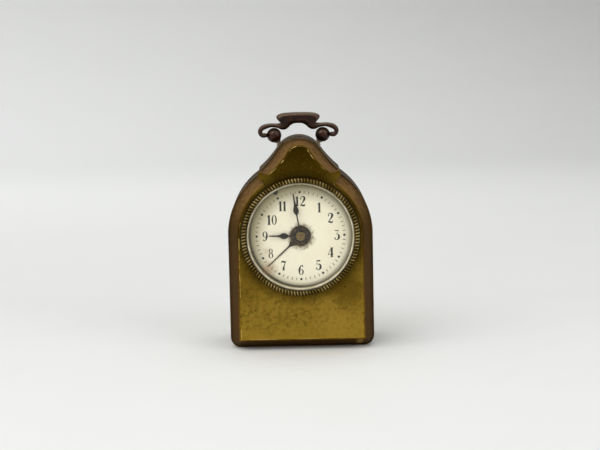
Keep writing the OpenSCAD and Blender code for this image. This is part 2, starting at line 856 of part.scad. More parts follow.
// Shoulder screws in the back plate that carry the clicks and the stop lever
module click_screws() {
    top = ratchet_y + 0.8;
    for (p = [going_click_at, alarm_click_at, stop_at]) {
        color("#7d8088") rod(p, shoulder_r, rear_y, top);
        screw(p, top, top - rear_y + plate_t, shoulder_thread_r, small_head_r, 0.5);
    }
}

collar_r = 1.4;

// The centre arbor runs from the cap to the setting knob; its collar presses on the centre wheel
module centre_arbor() {
    color("#8b8d92") {
        rod(centre, centre_r, tip_y, knob_y + 2.4);
        rod(centre, centre_r + 0.3, front_plate_y, gap_y + 0.2);
        rod(centre, collar_r, gap_y + 0.2, centre_wheel_y - 0.05);
    }
}

// The centre wheel and its pinion share a sleeve that slips on the arbor when the hands are set
module centre_wheel() {
    color("#b89a50") {
        slab_at(centre, centre_wheel_y, centre_wheel_y + wheel_t)
            wheel(centre_teeth, module_a, 0, 5, centre_r + running);
        slab_at(centre, centre_wheel_y, barrel_teeth_y + 1.5) difference() {
            circle(centre_r + 0.25);
            circle(centre_r + running);
        }
        slab_at(centre, barrel_teeth_y - 0.6, barrel_teeth_y + 1.5) difference() {
            teeth(centre_leaves, module_a, 0);
            circle(centre_r + running);
        }
    }
}

module cannon_pinion() {
    color("#94969a") difference() {
        union() {
            rod(centre, cannon_r, minute_hand_y + 0.02, front_plate_y - 0.1);
            slab_at(centre, cannon_y, cannon_y + 0.6) teeth(cannon_teeth, module_d, 0);
        }
        rod(centre, centre_r, tip_y - 1, front_plate_y + 1);
    }
}

minute_angle = 101.3;
hour_angle = 180;
alarm_angle = 222;

// A hand: a ring on its pipe, a slim blade and a pear-shaped swelling
module hand_shape(len, ring_r, hole_r, pear_part, pear_w, pear_l, root_w, tip_w) {
    pear_at = pear_part * len;
    difference() {
        union() {
            circle(ring_r);
            polygon([[0, -root_w / 2], [len, -tip_w / 2], [len, tip_w / 2], [0, root_w / 2]]);
            polygon([for (i = [0:24]) let (a = 15 * i)
                [pear_at + pear_l / 2 * cos(a), pear_w / 2 * sin(a) * (1 + 0.35 * cos(a))]]);
        }
        circle(hole_r);
    }
}

module minute_hand() {
    color("#3a2a16") slab_at(centre, minute_hand_y, minute_hand_y + hand_t) rotate(minute_angle)
        hand_shape(minute_len, 2, cannon_r + 0.01, 0.6, 2.4, 4.2, 0.9, 0.35);
}

// A plain brass cap pressed on the arbor in front of the minute hand
module centre_cap() {
    color("#8b7748") turned(centre, minute_hand_y) difference() {
        polygon(concat([[0, 0.01], [1.8, 0.01]], arc([1.4, 0.25], 0.4, 0, 90, 4), [[0, 0.65]]));
        translate([0, -1]) square([centre_r + 0.01, 1 + minute_hand_y - tip_y + 0.01]);
    }
}

module hour_hand() {
    color("#3a2a16") slab_at(centre, hour_hand_y, hour_hand_y + hand_t) rotate(hour_angle)
        hand_shape(hour_len, 2.4, hour_pipe_r + 0.01, 0.53, 2.8, 4.6, 1.1, 0.4);
}

module alarm_hand() {
    color("#2f2010") {
        turned(centre, disc_y + hand_t) difference() {
            polygon([[0, 0], [4.1, 0], [4.1, 0.3], [3.7, 0.5], [3.2, 0.35], [2.4, 0.35], [0, 0.35]]);
            translate([0, -1]) square([alarm_pipe_r + 0.01, 3]);
        }
        slab_at(centre, disc_y, disc_y + hand_t) rotate(alarm_angle)
            polygon([[3, -0.7], [5.6, -0.55], [8, -0.25], [alarm_len, -0.12], [alarm_len, 0.12], [8, 0.25],
                [5.6, 0.55], [3, 0.7]]);
    }
}

module setting_knob() {
    color("#b3954c") slab_at(centre, knob_y, knob_y + 2.2) difference() {
        teeth(30, 0.22, 0);
        circle(centre_r);
    }
}

// Minute wheel and its pinion on a stud of the front plate
module minute_wheel() {
    color("#b89a50") {
        slab_at(minute_at, cannon_y, cannon_y + under_t) wheel(minute_teeth, module_d, minute_turn, 4, 0.1);
        slab_at(minute_at, hour_y, cannon_y) teeth(minute_leaves, module_e, minute_turn);
        rod(minute_at, stud_r, hour_y, front_plate_y + plate_t - 0.1);
    }
}

module hour_wheel() {
    color("#b89a50") difference() {
        union() {
            slab_at(centre, hour_y, hour_y + under_t)
                wheel(hour_teeth, module_e, hour_turn, 4, cannon_r + 0.1);
            rod(centre, hour_pipe_r, hour_hand_y - 0.1, hour_y + under_t);
        }
        rod(centre, cannon_r + running, hour_hand_y - 1, hour_y + 1);
    }
}

module alarm_wheel() {
    color("#b89a50") difference() {
        union() {
            slab_at(centre, alarm_wheel_y, alarm_wheel_y + under_t)
                wheel(alarm_wheel_teeth, module_e, alarm_wheel_turn, 5, hour_pipe_r + 0.1);
            rod(centre, alarm_pipe_r, disc_y + 0.1, alarm_wheel_y + under_t);
        }
        rod(centre, hour_pipe_r + running, disc_y - 1, alarm_wheel_y + 1);
    }
}

module alarm_setting_arbor() {
    color("#8b8d92") {
        rod(alarm_set_at, arbor_r, alarm_wheel_y - 0.2, knob_y + 1.8);
        slab_at(alarm_set_at, alarm_wheel_y - 0.1, alarm_wheel_y + 0.7)
            teeth(alarm_set_leaves, module_e, alarm_set_turn);
    }
}

module alarm_setting_knob() {
    color("#b3954c") slab_at(alarm_set_at, knob_y, knob_y + 1.6) difference() {
        teeth(28, 0.2, 0);
        circle(arbor_r);
    }
}

// A wheel on its own arbor with a pinion, between the plates
module train_wheel(p, n, m, turn, wheel_y, leaves, pinion_m, pinion_turn, pinion_y0, pinion_y1) {
    color("#b89a50") slab_at(p, wheel_y, wheel_y + wheel_t) wheel(n, m, turn, 5, 0.1);
    color("#8b8d92") {
        rod(p, arbor_r - 0.12, gap_y + 0.1, back_plate_y - 0.1);
        rod(p, pivot_r, front_plate_y + 0.1, rear_y);
        slab_at(p, pinion_y0, pinion_y1) teeth(leaves, pinion_m, pinion_turn);
    }
}

module third_wheel() {
    train_wheel(third_at, third_teeth, module_b, third_turn, third_wheel_y, third_leaves, module_a,
        third_turn, centre_wheel_y - 0.3, centre_wheel_y + 1.2);
}

module fourth_wheel() {
    train_wheel(fourth_at, fourth_teeth, module_c, fourth_turn, fourth_wheel_y, fourth_leaves, module_b,
        fourth_turn, third_wheel_y - 0.4, third_wheel_y + 1.2);
}

escape_r = 3.5;

module escape_wheel() {
    color("#b89a50") slab_at(escape_at, escape_wheel_y, escape_wheel_y + 0.5) difference() {
        polygon([for (i = [0:escape_teeth - 1])
            for (k = [[escape_r, 0], [escape_r, 0.1], [escape_r - 1, 0.42]])
            let (a = escape_turn + 360 * (i + k[1]) / escape_teeth) k[0] * [cos(a), sin(a)]]);
        difference() {
            circle(escape_r - 1.5);
            circle(0.9);
            for (i = [0:3]) rotate(90 * i) translate([0, -0.25]) square([escape_r - 1, 0.5]);
        }
        circle(0.1);
    }
    color("#8b8d92") {
        rod(escape_at, arbor_r - 0.12, gap_y + 0.1, back_plate_y - 0.1);
        rod(escape_at, pivot_r, front_plate_y + 0.1, rear_y);
        slab_at(escape_at, fourth_wheel_y - 0.4, fourth_wheel_y + 1.1)
            teeth(escape_leaves, module_c, escape_turn);
    }
}

pallet_open = 38;
pallet_gap = 0.45;
fork_short = 1.5;

// The anchor straddles the escape wheel just clear of its teeth, and the fork lies behind the back plate
module pallet_lever() {
    toward = pallet_line + 180;
    color("#8f9196") {
        slab_at(pallet_at, escape_wheel_y, escape_wheel_y + 0.5) {
            circle(0.9);
            for (s = [-1, 1]) {
                a = polar([0, 0], escape_r + pallet_gap, pallet_line + s * pallet_open);
                b = polar([0, 0], escape_r + pallet_gap + 0.9, pallet_line + s * pallet_open);
                c = a - polar([0, 0], pallet_dist, pallet_line);
                d = b - polar([0, 0], pallet_dist, pallet_line);
                aside = 0.35 * [sin(toward), -cos(toward)] * s;
                polygon([c + aside, c - aside, -aside, 2 * aside, d + 2 * aside]);
            }
        }
        rod(pallet_at, arbor_r - 0.12, gap_y + 0.1, fork_y);
        rod(pallet_at, pivot_r, front_plate_y + 0.1, fork_y);
        slab_at(pallet_at, fork_y, fork_y + 0.4) rotate(balance_line) difference() {
            union() {
                circle(0.9);
                translate([0, -0.35]) square([balance_dist - fork_short - 0.4, 0.7]);
                translate([balance_dist - fork_short - 1, -0.8]) square([1, 1.6]);
            }
            translate([balance_dist - fork_short - 0.8, -0.3]) square([2, 0.6]);
        }
    }
}

roller_pin_r = 1;
collet_r = 0.85;
spring_w = 0.2;
spring_out = 3.9;
spring_in = collet_r + spring_w / 2 + 0.02;
spring_coils = 4;

module balance_wheel() {
    color("#b89a50") slab_at(balance_at, balance_y, balance_y + 0.7) difference() {
        circle(balance_r);
        difference() {
            circle(balance_r - 0.8);
            circle(1);
            translate([-balance_r, -0.4]) square([2 * balance_r, 0.8]);
        }
    }
    color("#8b8d92") {
        rod(balance_at, 0.4, rear_y + 0.1, cock_y - 0.1);
        rod(balance_at, pivot_r, back_plate_y + 0.1, cock_y + cock_t);
        rod(balance_at, 1.5, fork_y + 0.6, fork_y + 0.9);
        rod(polar(balance_at, roller_pin_r, balance_line + 180), 0.2, fork_y - 0.1, fork_y + 0.7);
        rod(balance_at, collet_r, spring_y - 0.2, spring_y + 0.6);
    }
}

module hairspring() {
    color("#55606e") slab_at(balance_at, spring_y, spring_y + 0.4)
        spiral(spring_in, spring_out, spring_coils, spring_w, 100);
}

// Least gap between two turns of the hairspring, measured on its points
hair_steps = spring_coils * 20;
function hair(i) = let (a = 360 * spring_coils * i / hair_steps)
    (spring_in + (spring_out - spring_in) * i / hair_steps) * [cos(a), sin(a)];
hair_apart = [for (i = [0:hair_steps - 15]) for (j = [i + 15:hair_steps]) norm(hair(i) - hair(j))];
hair_gap = min(hair_apart) - spring_w;
echo(str("least gap between the turns of the hairspring: ", hair_gap, " mm"));

cock_line = 100;
cock_reach = 7.4;
cock_half = 1.4;
cock_foot_half = 2.8;
cock_boss_r = 0.85;
cock_foot = polar(balance_at, cock_reach, cock_line);
cock_screw_at = [for (s = [-1, 1]) polar(cock_foot, 1.6, cock_line + s * 90)];

module balance_cock() {
    color("#b3954c") difference() {
        union() {
            slab_at(balance_at, cock_y, cock_y + cock_t) {
                circle(2);
                rotate(cock_line) translate([0, -cock_half]) square([cock_reach, 2 * cock_half]);
            }
            rod(balance_at, cock_boss_r, cock_y + cock_t, cock_y + cock_t + 0.6);
            slab_at(cock_foot, rear_y, cock_y + cock_t) rotate(cock_line)
                square([2 * cock_half, 2 * cock_foot_half], center = true);
            rod(polar(balance_at, spring_out + 0.75, cock_line), 0.3, spring_y, cock_y);
        }
        rod(balance_at, pivot_r + running, cock_y - 1, cock_y + 3);
        for (s = cock_screw_at) rod(s, cock_screw_r, rear_y - 1, cock_y + 3);
    }
}

module cock_screws() {
    top = cock_y + cock_t;
    for (s = cock_screw_at) screw(s, top, top - rear_y + plate_t, cock_screw_r, small_head_r, 0.6);
}

regulator_line = 20;
regulator_len = 6;

module regulator() {
    color("#8f9196") slab_at(balance_at, cock_y + cock_t + 0.05, cock_y + cock_t + 0.45) difference() {
        union() {
            circle(1.5);
            rotate(regulator_line) {
                translate([0, -0.3]) square([regulator_len, 0.6]);
                translate([regulator_len, 0]) circle(0.6);
            }
        }
        circle(cock_boss_r + running);
    }
}

// Alarm work

module alarm_barrel() {
    color("#b3954c") winding_barrel(alarm_barrel_at, alarm_drum_r, alarm_barrel_teeth, 0);
}

module alarm_mainspring() {
    mainspring(alarm_barrel_at, alarm_drum_r);
}

module alarm_arbor() {
    winding_arbor(alarm_barrel_at);
}

module alarm_ratchet() {
    winding_ratchet(alarm_barrel_at);
}

module alarm_key() {
    winding_key(alarm_barrel_at);
}

alarm_escape_r = 2.9;

module alarm_escape_wheel() {
    color("#b89a50") slab_at(alarm_escape_at, centre_wheel_y, centre_wheel_y + wheel_t)
        saw(14, alarm_escape_r, 0.8, 0);
    color("#8b8d92") {
        rod(alarm_escape_at, arbor_r - 0.12, gap_y + 0.1, back_plate_y - 0.1);
        rod(alarm_escape_at, pivot_r, front_plate_y + 0.1, rear_y);
        slab_at(alarm_escape_at, barrel_teeth_y - 0.4, barrel_teeth_y + 1.4)
            teeth(alarm_leaves, module_a, alarm_escape_turn);
    }
}

bell_x = -9;
bell_y = 3;
bell_h = 11;
bell_t = 0.9;
bell_hole_r = 1;
bell_stud_r = 0.98;
head_len = 3.2;
head_r = 1.5;
hammer_y = gap_y + 5.4;
hammer_z = base_t + bell_low + 2.5;
hammer_x = bell_x + sqrt(pow(bell_r, 2) - pow(bell_y - hammer_y - 0.5, 2)) + 3.3;

// The hammer hangs from the verge arbor, with two pallets at the alarm's escape wheel
module hammer() {
    head = [hammer_x, hammer_z - dial_z];
    lift = [verge_at[0] + 2.2, verge_at[1] - 3];
    color("#8f9196") {
        slab_at(verge_at, centre_wheel_y, centre_wheel_y + wheel_t) {
            circle(0.8);
            for (m = [0, 1]) mirror([m, 0])
                polygon([[0, -0.4], [1.9, 0.2], [2, 1.1], [1.5, 1.1], [1.2, 0.5], [0, 0.5]]);
        }
        rod(verge_at, arbor_r - 0.12, gap_y + 0.1, back_plate_y - 0.1);
        rod(verge_at, pivot_r, front_plate_y + 0.1, rear_y);
        slab_at(centre, hammer_y, hammer_y + 1) {
            translate(verge_at) circle(1);
            strip(verge_at, lift, 0.8);
            strip(lift, head, 0.8);
        }
        translate([head[0] - head_len / 2, hammer_y + 0.5, dial_z + head[1]]) rotate([0, 90, 0])
            cylinder(h = head_len, r = head_r);
    }
}

// A straight strip of even width between two points
module strip(a, b, w) {
    along = (b - a) / norm(b - a);
    across = w / 2 * [-along[1], along[0]];
    polygon([a - across, b - across, b + across, a + across]);
    translate(b) circle(w / 2);
}

module bell() {
    z = base_t + bell_low;
    color("#8d9095") translate([bell_x, bell_y, z]) rotate_extrude() difference() {
        bell_side(0);
        bell_side(bell_t);
        translate([-bell_r * 2, -1]) square([bell_r * 2, bell_h + 4]);
        translate([0, -1]) square([bell_hole_r, bell_h + 4]);
    }
}

// Half section of the bell: a flared mouth below a round crown
module bell_side(cut) {
    r = bell_r - cut;
    h = bell_h - cut;
    polygon(concat([[0, -cut]], [[r, -cut]], [[r - 0.6, 2]], arc([r - 5.6, h - 5], 5, 0, 90, 8), [[0, h]]));
}

module bell_post() {
    color("#8f7636") translate([bell_x, bell_y, 0]) {
        translate([0, 0, base_t]) cylinder(h = bell_low + bell_h - bell_t, r = 1.6);
        translate([0, 0, base_t]) cylinder(h = bell_low + bell_h + 2.4, r = bell_stud_r);
    }
}

module bell_nut() {
    color("#9b7f3c") translate([bell_x, bell_y, base_t + bell_low + bell_h]) difference() {
        cylinder(h = 1.6, r = 2.2, $fn = 6);
        translate([0, 0, -1]) cylinder(h = 4, r = bell_stud_r);
    }
}

// The stop lever swings behind the back plate and ends in a thumb piece
module stop_lever() {
    color("#8f9196") {
        slab_at(stop_at, ratchet_y, ratchet_y + 0.7) difference() {
            union() {
                circle(1.1);
                rotate(8) translate([0, -0.5]) square([6.5, 1]);
                rotate(188) translate([0, -0.5]) square([4.5, 1]);
            }
            circle(shoulder_r + running);
        }
        slab_at(stop_at, ratchet_y, ratchet_y + 4.5) rotate(188) translate([3.6, -1]) square([0.9, 2]);
    }
}

front_shell();
case_band();
base_plate();
back_frame();
bezel();
sight_ring();
glass();
dial();
ball_posts();
handle();
hinge_pin();
rear_door();
door_knob();
case_posts();
front_plate();
back_plate();
plate_pillars();
plate_screws();
balance_cock();
cock_screws();
click_screws();
going_barrel();
going_mainspring();
going_arbor();
going_ratchet();
going_key();
going_click();
centre_arbor();
centre_wheel();
cannon_pinion();
minute_hand();
centre_cap();
setting_knob();
minute_wheel();
hour_wheel();
hour_hand();
third_wheel();
fourth_wheel();
escape_wheel();
pallet_lever();
balance_wheel();
hairspring();
regulator();
alarm_barrel();
alarm_mainspring();
alarm_arbor();
alarm_ratchet();
alarm_key();
alarm_click();
alarm_escape_wheel();
hammer();
bell();
bell_post();
bell_nut();
alarm_setting_arbor();
alarm_setting_knob();
alarm_wheel();
alarm_hand();
stop_lever();
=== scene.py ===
"""Travel alarm clock in aged brass: the pieces that show, their finishes and the studio.

Laid out as an add-on and run as a script. Sizes in the functions are in millimetres, in the frame's own
axes: +Z up, the dial facing -Y, the origin in the middle of the clock's underside.
"""

from functools import cache
from itertools import count
from math import atan2, cos, hypot, pi, radians, sin

import bpy
import numpy as np
from bpy.props import FloatProperty, IntProperty, PointerProperty, StringProperty
from bpy.types import Operator, Panel, PropertyGroup
from mathutils import Matrix, Vector


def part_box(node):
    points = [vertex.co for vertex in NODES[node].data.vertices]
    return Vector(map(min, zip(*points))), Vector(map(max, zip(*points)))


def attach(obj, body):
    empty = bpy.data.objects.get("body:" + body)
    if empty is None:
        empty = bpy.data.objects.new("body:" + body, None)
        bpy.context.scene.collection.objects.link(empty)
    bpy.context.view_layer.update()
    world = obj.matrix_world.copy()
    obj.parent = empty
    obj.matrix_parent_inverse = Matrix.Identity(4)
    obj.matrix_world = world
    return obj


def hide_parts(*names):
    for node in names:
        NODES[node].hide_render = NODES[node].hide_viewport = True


bl_info = {
    "name": "Travel Clock",
    "version": (1, 0, 0),
    "blender": (4, 5, 0),
    "location": "3D View > Sidebar > Clock",
    "description": "Builds an aged brass travel alarm clock and its studio",
    "category": "Object",
}

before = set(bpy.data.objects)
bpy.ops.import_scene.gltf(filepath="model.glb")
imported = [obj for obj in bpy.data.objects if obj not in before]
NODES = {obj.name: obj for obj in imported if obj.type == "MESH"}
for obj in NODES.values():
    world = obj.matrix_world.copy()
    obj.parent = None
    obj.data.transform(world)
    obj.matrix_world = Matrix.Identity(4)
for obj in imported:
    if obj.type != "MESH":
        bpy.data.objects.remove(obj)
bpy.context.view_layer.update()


def low(node, axis):
    """Lowest place of a CAD node along an axis (0, 1, 2), in millimetres."""
    return 1000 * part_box(node)[0][axis]


def high(node, axis):
    """Highest place of a CAD node along an axis, in millimetres."""
    return 1000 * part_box(node)[1][axis]


# Case, in millimetres: from the frame where it holds the size, else as the photograph shows it
ARCH_R = high("case_band", 0)
FACE_Y = low("front_shell", 1)
BAND_Y = low("case_band", 1)
BACK_Y = high("case_band", 1)
APEX_Z = high("front_shell", 2)
SHEET = 0.8
BORDER = 4.6
LIP = 0.5
CORNER_R = 4.2
BACK_CORNER_R = 6.2

# Hood: radii of its round top and of the hollow below, and the slopes in degrees between them and at the eave
CROWN_R = 10.5
HOLLOW_R = 42.5
BEND_SLOPE = 56
EAVE_SLOPE = 42

# Flat ears of the front, where the hood meets the arch
EAR_HALF = 16.3
EAR_ANGLE = float(np.degrees(np.arccos(EAR_HALF / ARCH_R)))
EAR_H = 1.2

# Bezel, and the hole in the face that its neck stands in
DIAL_Z = (low("bezel", 2) + high("bezel", 2)) / 2
BEZEL_R = high("bezel", 0)
BEZEL_Y = low("bezel", 1)
HOLE_R = 21.56
NECK_R = 21.42

# Dial: what shows of it, its minute track, and the front and the foot of its print
DIAL_R = 20.3
DIAL_Y = low("dial", 1)
TRACK_R = 17.4
PRINT_Y = DIAL_Y - 0.04
PRINT_FOOT = DIAL_Y + 0.03

# Hands: the back of each, and where it points, in degrees anticlockwise from the right as the dial is read
MINUTE_Y = high("minute_hand", 1)
HOUR_Y = high("hour_hand", 1)
ALARM_Y = high("alarm_hand", 1)
MINUTE_ANGLE = 98.7
HOUR_ANGLE = 179.0
ALARM_ANGLE = 222.5

# Handle, and the two balls that it swings on
PIVOT_Z = 84.9
BALL_X = 9.8
BALL_R = 2.95
STRAP_W = high("handle", 1) - low("handle", 1)


# Settings


class ClockShape(PropertyGroup):
    """Sizes of the pieces that are made here"""

    ribs: IntProperty(
        name="Bezel ribs", description="Ribs milled round the bezel's bead", default=115, min=60, max=160)
    rib_deep: FloatProperty(
        name="Rib depth", description="Depth of the bezel's milling, in mm", default=0.34, min=0.05, max=0.5)
    numeral_height: FloatProperty(
        name="Numeral height", description="Height of the dial's numbers, in mm", default=3.9, min=2.0, max=5.0)
    numeral_circle: FloatProperty(
        name="Numeral circle", description="Radius of their circle, in mm", default=13.75, min=10.0, max=16.0)


class ClockFinish(PropertyGroup):
    """Colours of the finishes, as sRGB hex values"""

    brass: StringProperty(name="Brass", description="Worn brass low on the face", default="#97792a")
    patina: StringProperty(name="Patina", description="Tarnish high on the face", default="#4a3806")
    browned: StringProperty(name="Border", description="Sloping border round the face", default="#8a6a42")
    enamel: StringProperty(name="Dial", description="Enamel of the dial", default="#fff8de")
    floor: StringProperty(name="Floor", description="Table and backdrop", default="#efefed")


# Curves of the case, each an array of (x, z) points


def arc(centre, r, a0, a1, n):
    """Points of a circular arc between two angles in degrees."""
    a = np.radians(np.linspace(a0, a1, n))
    return np.stack([centre[0] + r * np.cos(a), centre[1] + r * np.sin(a)], 1)


def ogee(apex, top_r, turn, low_r, last):
    """Right half of a hood outline, from the eave up to the middle: a hollow arc of radius low_r swings over,
    at the slope `turn`, into a round top of radius top_r. The hollow arc starts at the slope `last`."""
    bend = [top_r * sin(radians(turn)), apex - top_r * (1 - cos(radians(turn)))]
    centre = [bend[0] + low_r * sin(radians(turn)), bend[1] + low_r * cos(radians(turn))]
    hollow = arc(centre, low_r, 270 - last, 270 - turn, 30)
    crown = arc([0, apex - top_r], top_r, 90 - turn, 90, 30)
    return np.concatenate([hollow, crown[1:]])


def hood(inset):
    """Right half of the hood's outline, moved in by an inset."""
    return ogee(APEX_Z - inset, CROWN_R - inset, BEND_SLOPE, HOLLOW_R + inset, EAVE_SLOPE)


def side(inset, turn=CORNER_R):
    """Right half of the sides: the rounded lower corner, of radius `turn` at no inset, the upright and the arch
    up to the hood's ear."""
    corner = arc([ARCH_R - turn, turn], max(turn - inset, 0.2), -90, 0, 16)
    corner += max(inset - turn + 0.2, 0) * np.array([-1.0, 1.0])
    upright = bridge(corner[-1], [ARCH_R - inset, DIAL_Z], 24)
    return np.concatenate([corner, upright, arc([0, DIAL_Z], ARCH_R - inset, 0, EAR_ANGLE, 56)])


def bridge(a, b, steps):
    """Points from just after one point to just before another, on a straight line."""
    t = np.linspace(0, 1, steps + 2)[1:-1, None]
    return np.asarray(a) * (1 - t) + np.asarray(b) * t


def tab(share):
    """Right ear of the flat front. Its inner side runs from the arch's border to the hood's, and its outer side
    up the ear's edge and in along the eave; share goes from the inner side, 0, to the outer one, 1."""
    inner = bridge(side(BORDER)[-1], HOOD_IN[0], 15)
    foot, top = side(0)[-1], side(0)[-1] + [0, EAR_H]
    outer = np.concatenate([bridge(foot, top, 7), top[None], bridge(top, EAVE, 7)])
    return inner * (1 - share) + outer * share


def front_loop(share):
    """Closed loop round the pressed front, anticlockwise as seen from the front: share is 0 at the edge of the
    flat part and 1 at the border's back edge. Also returns which points lie on the ears."""
    roof = HOOD_IN * (1 - share) + HOOD_LIP * share
    ear = tab(share)
    sides = side(LIP + (BORDER - LIP) * (1 - share))
    right = np.concatenate([sides, ear, roof])
    mark = np.zeros(len(right))
    mark[len(sides):len(sides) + len(ear)] = 1
    left = right[-2::-1] * [-1, 1]
    points = np.concatenate([right, left, bridge(left[-1], right[0], FOOT_STEPS)])
    return points, np.concatenate([mark, mark[-2::-1], np.zeros(FOOT_STEPS)])


def band_path(inset, turn):
    """Open path round the band, from the base plate's right edge over the hood to its left edge."""
    start = [ARCH_R - BACK_CORNER_R - 0.02, inset]
    ear = side(inset)[-1] + [0, EAR_H]
    right = np.concatenate([[start], side(inset, turn), [ear], hood(inset)])
    return np.concatenate([right, right[-2::-1] * [-1, 1]])


def shrink(points, inset):
    """A closed loop moved inwards along its own normals by the same distance everywhere."""
    step = np.roll(points, -1, 0) - np.roll(points, 1, 0)
    normal = np.stack([step[:, 1], -step[:, 0]], 1)
    return points - inset * normal / np.linalg.norm(normal, axis=1, keepdims=True)


# Hood of the flat front, hood of the border's back edge, the eave's end, and steps along the underside
HOOD_IN = ogee(APEX_Z - 2.5, 4.4, 60, 26, 33)
HOOD_LIP = hood(LIP)
EAVE = hood(0)[0]
FOOT_STEPS = 60


# Meshes


def mesh_object(name, points, faces, crease=32):
    """A mesh object at the origin from points in millimetres, smooth but for edges sharper than the crease."""
    mesh = bpy.data.meshes.new(name)
    mesh.from_pydata((np.asarray(points) * 0.001).tolist(), [], faces)
    mesh.update()
    mesh.shade_smooth()
    mesh.set_sharp_from_angle(angle=radians(crease))
    obj = bpy.data.objects.new(name, mesh)
    bpy.context.scene.collection.objects.link(obj)
    return obj


def value_on(obj, name, values):
    """Keeps a number for each point of the mesh, for a material to read."""
    obj.data.attributes.new(name, "FLOAT", "POINT").data.foreach_set("value", np.asarray(values, float).ravel())


def grid_faces(rows, cols, wrap_rows, wrap_cols):
    """Quads of a grid of points, joined round where it wraps."""
    i = np.arange(rows if wrap_rows else rows - 1)[:, None]
    j = np.arange(cols if wrap_cols else cols - 1)[None, :]
    i2, j2 = (i + 1) % rows, (j + 1) % cols
    return np.stack([i * cols + j, i * cols + j2, i2 * cols + j2, i2 * cols + j], -1).reshape(-1, 4).tolist()


class Solid:
    """Collects closed surfaces that make one piece, each turned so that its faces point outwards."""

    def __init__(self):
        self.points, self.faces = [], []

    def add(self, rows, caps=None):
        """Adds a surface on a grid of points. It wraps round both ways, or else ends in a flat cap on its first
        and last row, for caps "rows", or on its first and last column, for caps "cols"."""
        rows = np.asarray(rows, float)
        n, m = rows.shape[:2]
        number, points = np.arange(n * m).reshape(n, m), rows.reshape(-1, 3)
        faces = grid_faces(n, m, caps != "rows", caps != "cols")
        if caps:
            ends = number if caps == "rows" else number[::-1].T
            faces += [ends[0][::-1].tolist(), ends[-1].tolist()]
        first, way = sum(len(p) for p in self.points), -1 if self.volume(points, faces) < 0 else 1
        self.faces += [[first + k for k in face[::way]] for face in faces]
        self.points.append(points)
        return self

    @staticmethod
    def volume(points, faces):
        """Six times the volume inside the faces, positive where they face outwards: the sum over all fans of
        triangles of their corners' triple product."""
        total = 0
        for size in {len(face) for face in faces}:
            f = np.array([face for face in faces if len(face) == size])
            for k in range(1, size - 1):
                total += np.einsum("ij,ij->", points[f[:, 0]], np.cross(points[f[:, k]], points[f[:, k + 1]]))
        return total

    def make(self, name, crease=32):
        """The piece's object."""
        return mesh_object(name, np.concatenate(self.points), self.faces, crease)


def at_y(points, y):
    """A loop of (x, z) points set at a distance along Y, one for all or one for each point."""
    return np.stack([points[:, 0], np.full(len(points), 1) * y, points[:, 1]], 1)


def turned(profile, steps):
    """Rows of a piece turned round Y: each (radius, y) of the closed profile goes round the dial's centre."""
    profile = np.asarray(profile, float)
    a = np.linspace(0, 2 * pi, steps, endpoint=False)
    r, y = profile[:, :1], np.repeat(profile[:, 1:], steps, 1)
    return np.stack([r * np.cos(a), y, DIAL_Z + r * np.sin(a)], -1)


def stroke(path, widths, y):
    """Rows of a printed line of changing width along a path, with its front at y: the edges lie half the width
    to either side, along the path's normal. Its two ends are caps."""
    path, widths = np.asarray(path, float), np.asarray(widths, float)[:, None] / 2
    step = np.gradient(path, axis=0)
    normal = np.stack([-step[:, 1], step[:, 0]], 1) / np.linalg.norm(step, axis=1, keepdims=True)
    a, b = path + normal * widths, path - normal * widths
    return np.stack([at_y(a, y), at_y(b, y), at_y(b, PRINT_FOOT), at_y(a, PRINT_FOOT)])


def curve(points, values, n):
    """A smooth line of n points through a few points, and a value that changes smoothly along it. Each goes from
    point to point as a cubic, and its slope at a point is half the step between the point's neighbours."""
    p = np.column_stack([points, np.broadcast_to(values, len(points))]).astype(float)
    p = np.concatenate([[2 * p[0] - p[1]], p, [2 * p[-1] - p[-2]]])
    u = np.linspace(0, len(p) - 3 - 1e-9, n)
    k, t = u.astype(int), (u % 1)[:, None]
    a, b, c, d = (p[k + i] for i in range(4))
    out = 0.5 * (2 * b + (c - a) * t + (2 * a - 5 * b + 4 * c - d) * t ** 2 + (3 * b - a - 3 * c + d) * t ** 3)
    return out[:, :2], np.maximum(out[:, 2], 0.02)


# Finishes


def srgb(text):
    """sRGB hex to linear colour."""
    c = np.array([int(text[i:i + 2], 16) for i in (1, 3, 5)]) / 255
    c = np.where(c <= 0.04045, c / 12.92, ((c + 0.055) / 1.055) ** 2.4)
    return (*[float(v) for v in c], 1)


def add(tree, kind, inputs, out=0, **settings):
    """Adds a node with its settings, and a value, a hex colour or a link on each input that is named. Gives one
    of its outputs."""
    node = tree.nodes.new("ShaderNode" + kind)
    for key, value in settings.items():
        setattr(node, key, value)
    for key, value in inputs.items():
        if isinstance(value, bpy.types.NodeSocket):
            tree.links.new(value, node.inputs[key])
        else:
            node.inputs[key].default_value = srgb(value) if isinstance(value, str) else value
    return node.outputs[out] if len(node.outputs) else None


def new_tree(name):
    """The empty node tree of a new material."""
    mat = bpy.data.materials.new(name)
    mat.use_nodes = True
    mat.node_tree.nodes.clear()
    return mat, mat.node_tree


def surface(mat, colour, rough, **inputs):
    """The shader and the output, with the shader's other inputs by name, spaces as underscores. A roughness of
    (value, least, most) goes from least to most as a cloudy value does. Gives back the material."""
    tree = mat.node_tree
    if isinstance(rough, tuple):
        rough = add(tree, "MapRange", {0: rough[0], 1: 0.3, 2: 0.7, 3: rough[1], 4: rough[2]})
    values = {"Base Color": colour, "Roughness": rough, **{key.replace("_", " "): inputs[key] for key in inputs}}
    add(tree, "OutputMaterial", {"Surface": add(tree, "BsdfPrincipled", values)})
    return mat


def millimetres(tree, stretch=(1, 1, 1), shift=(0, 0, 0), turn=0):
    """Object coordinates in millimetres, moved, turned about Y, and stretched for a pattern."""
    at = add(tree, "TexCoord", {}, "Object")
    moved = add(tree, "Mapping", {"Vector": at, "Scale": (1000, 1000, 1000), "Location": shift})
    return add(tree, "Mapping", {"Vector": moved, "Rotation": (0, turn, 0), "Scale": stretch})


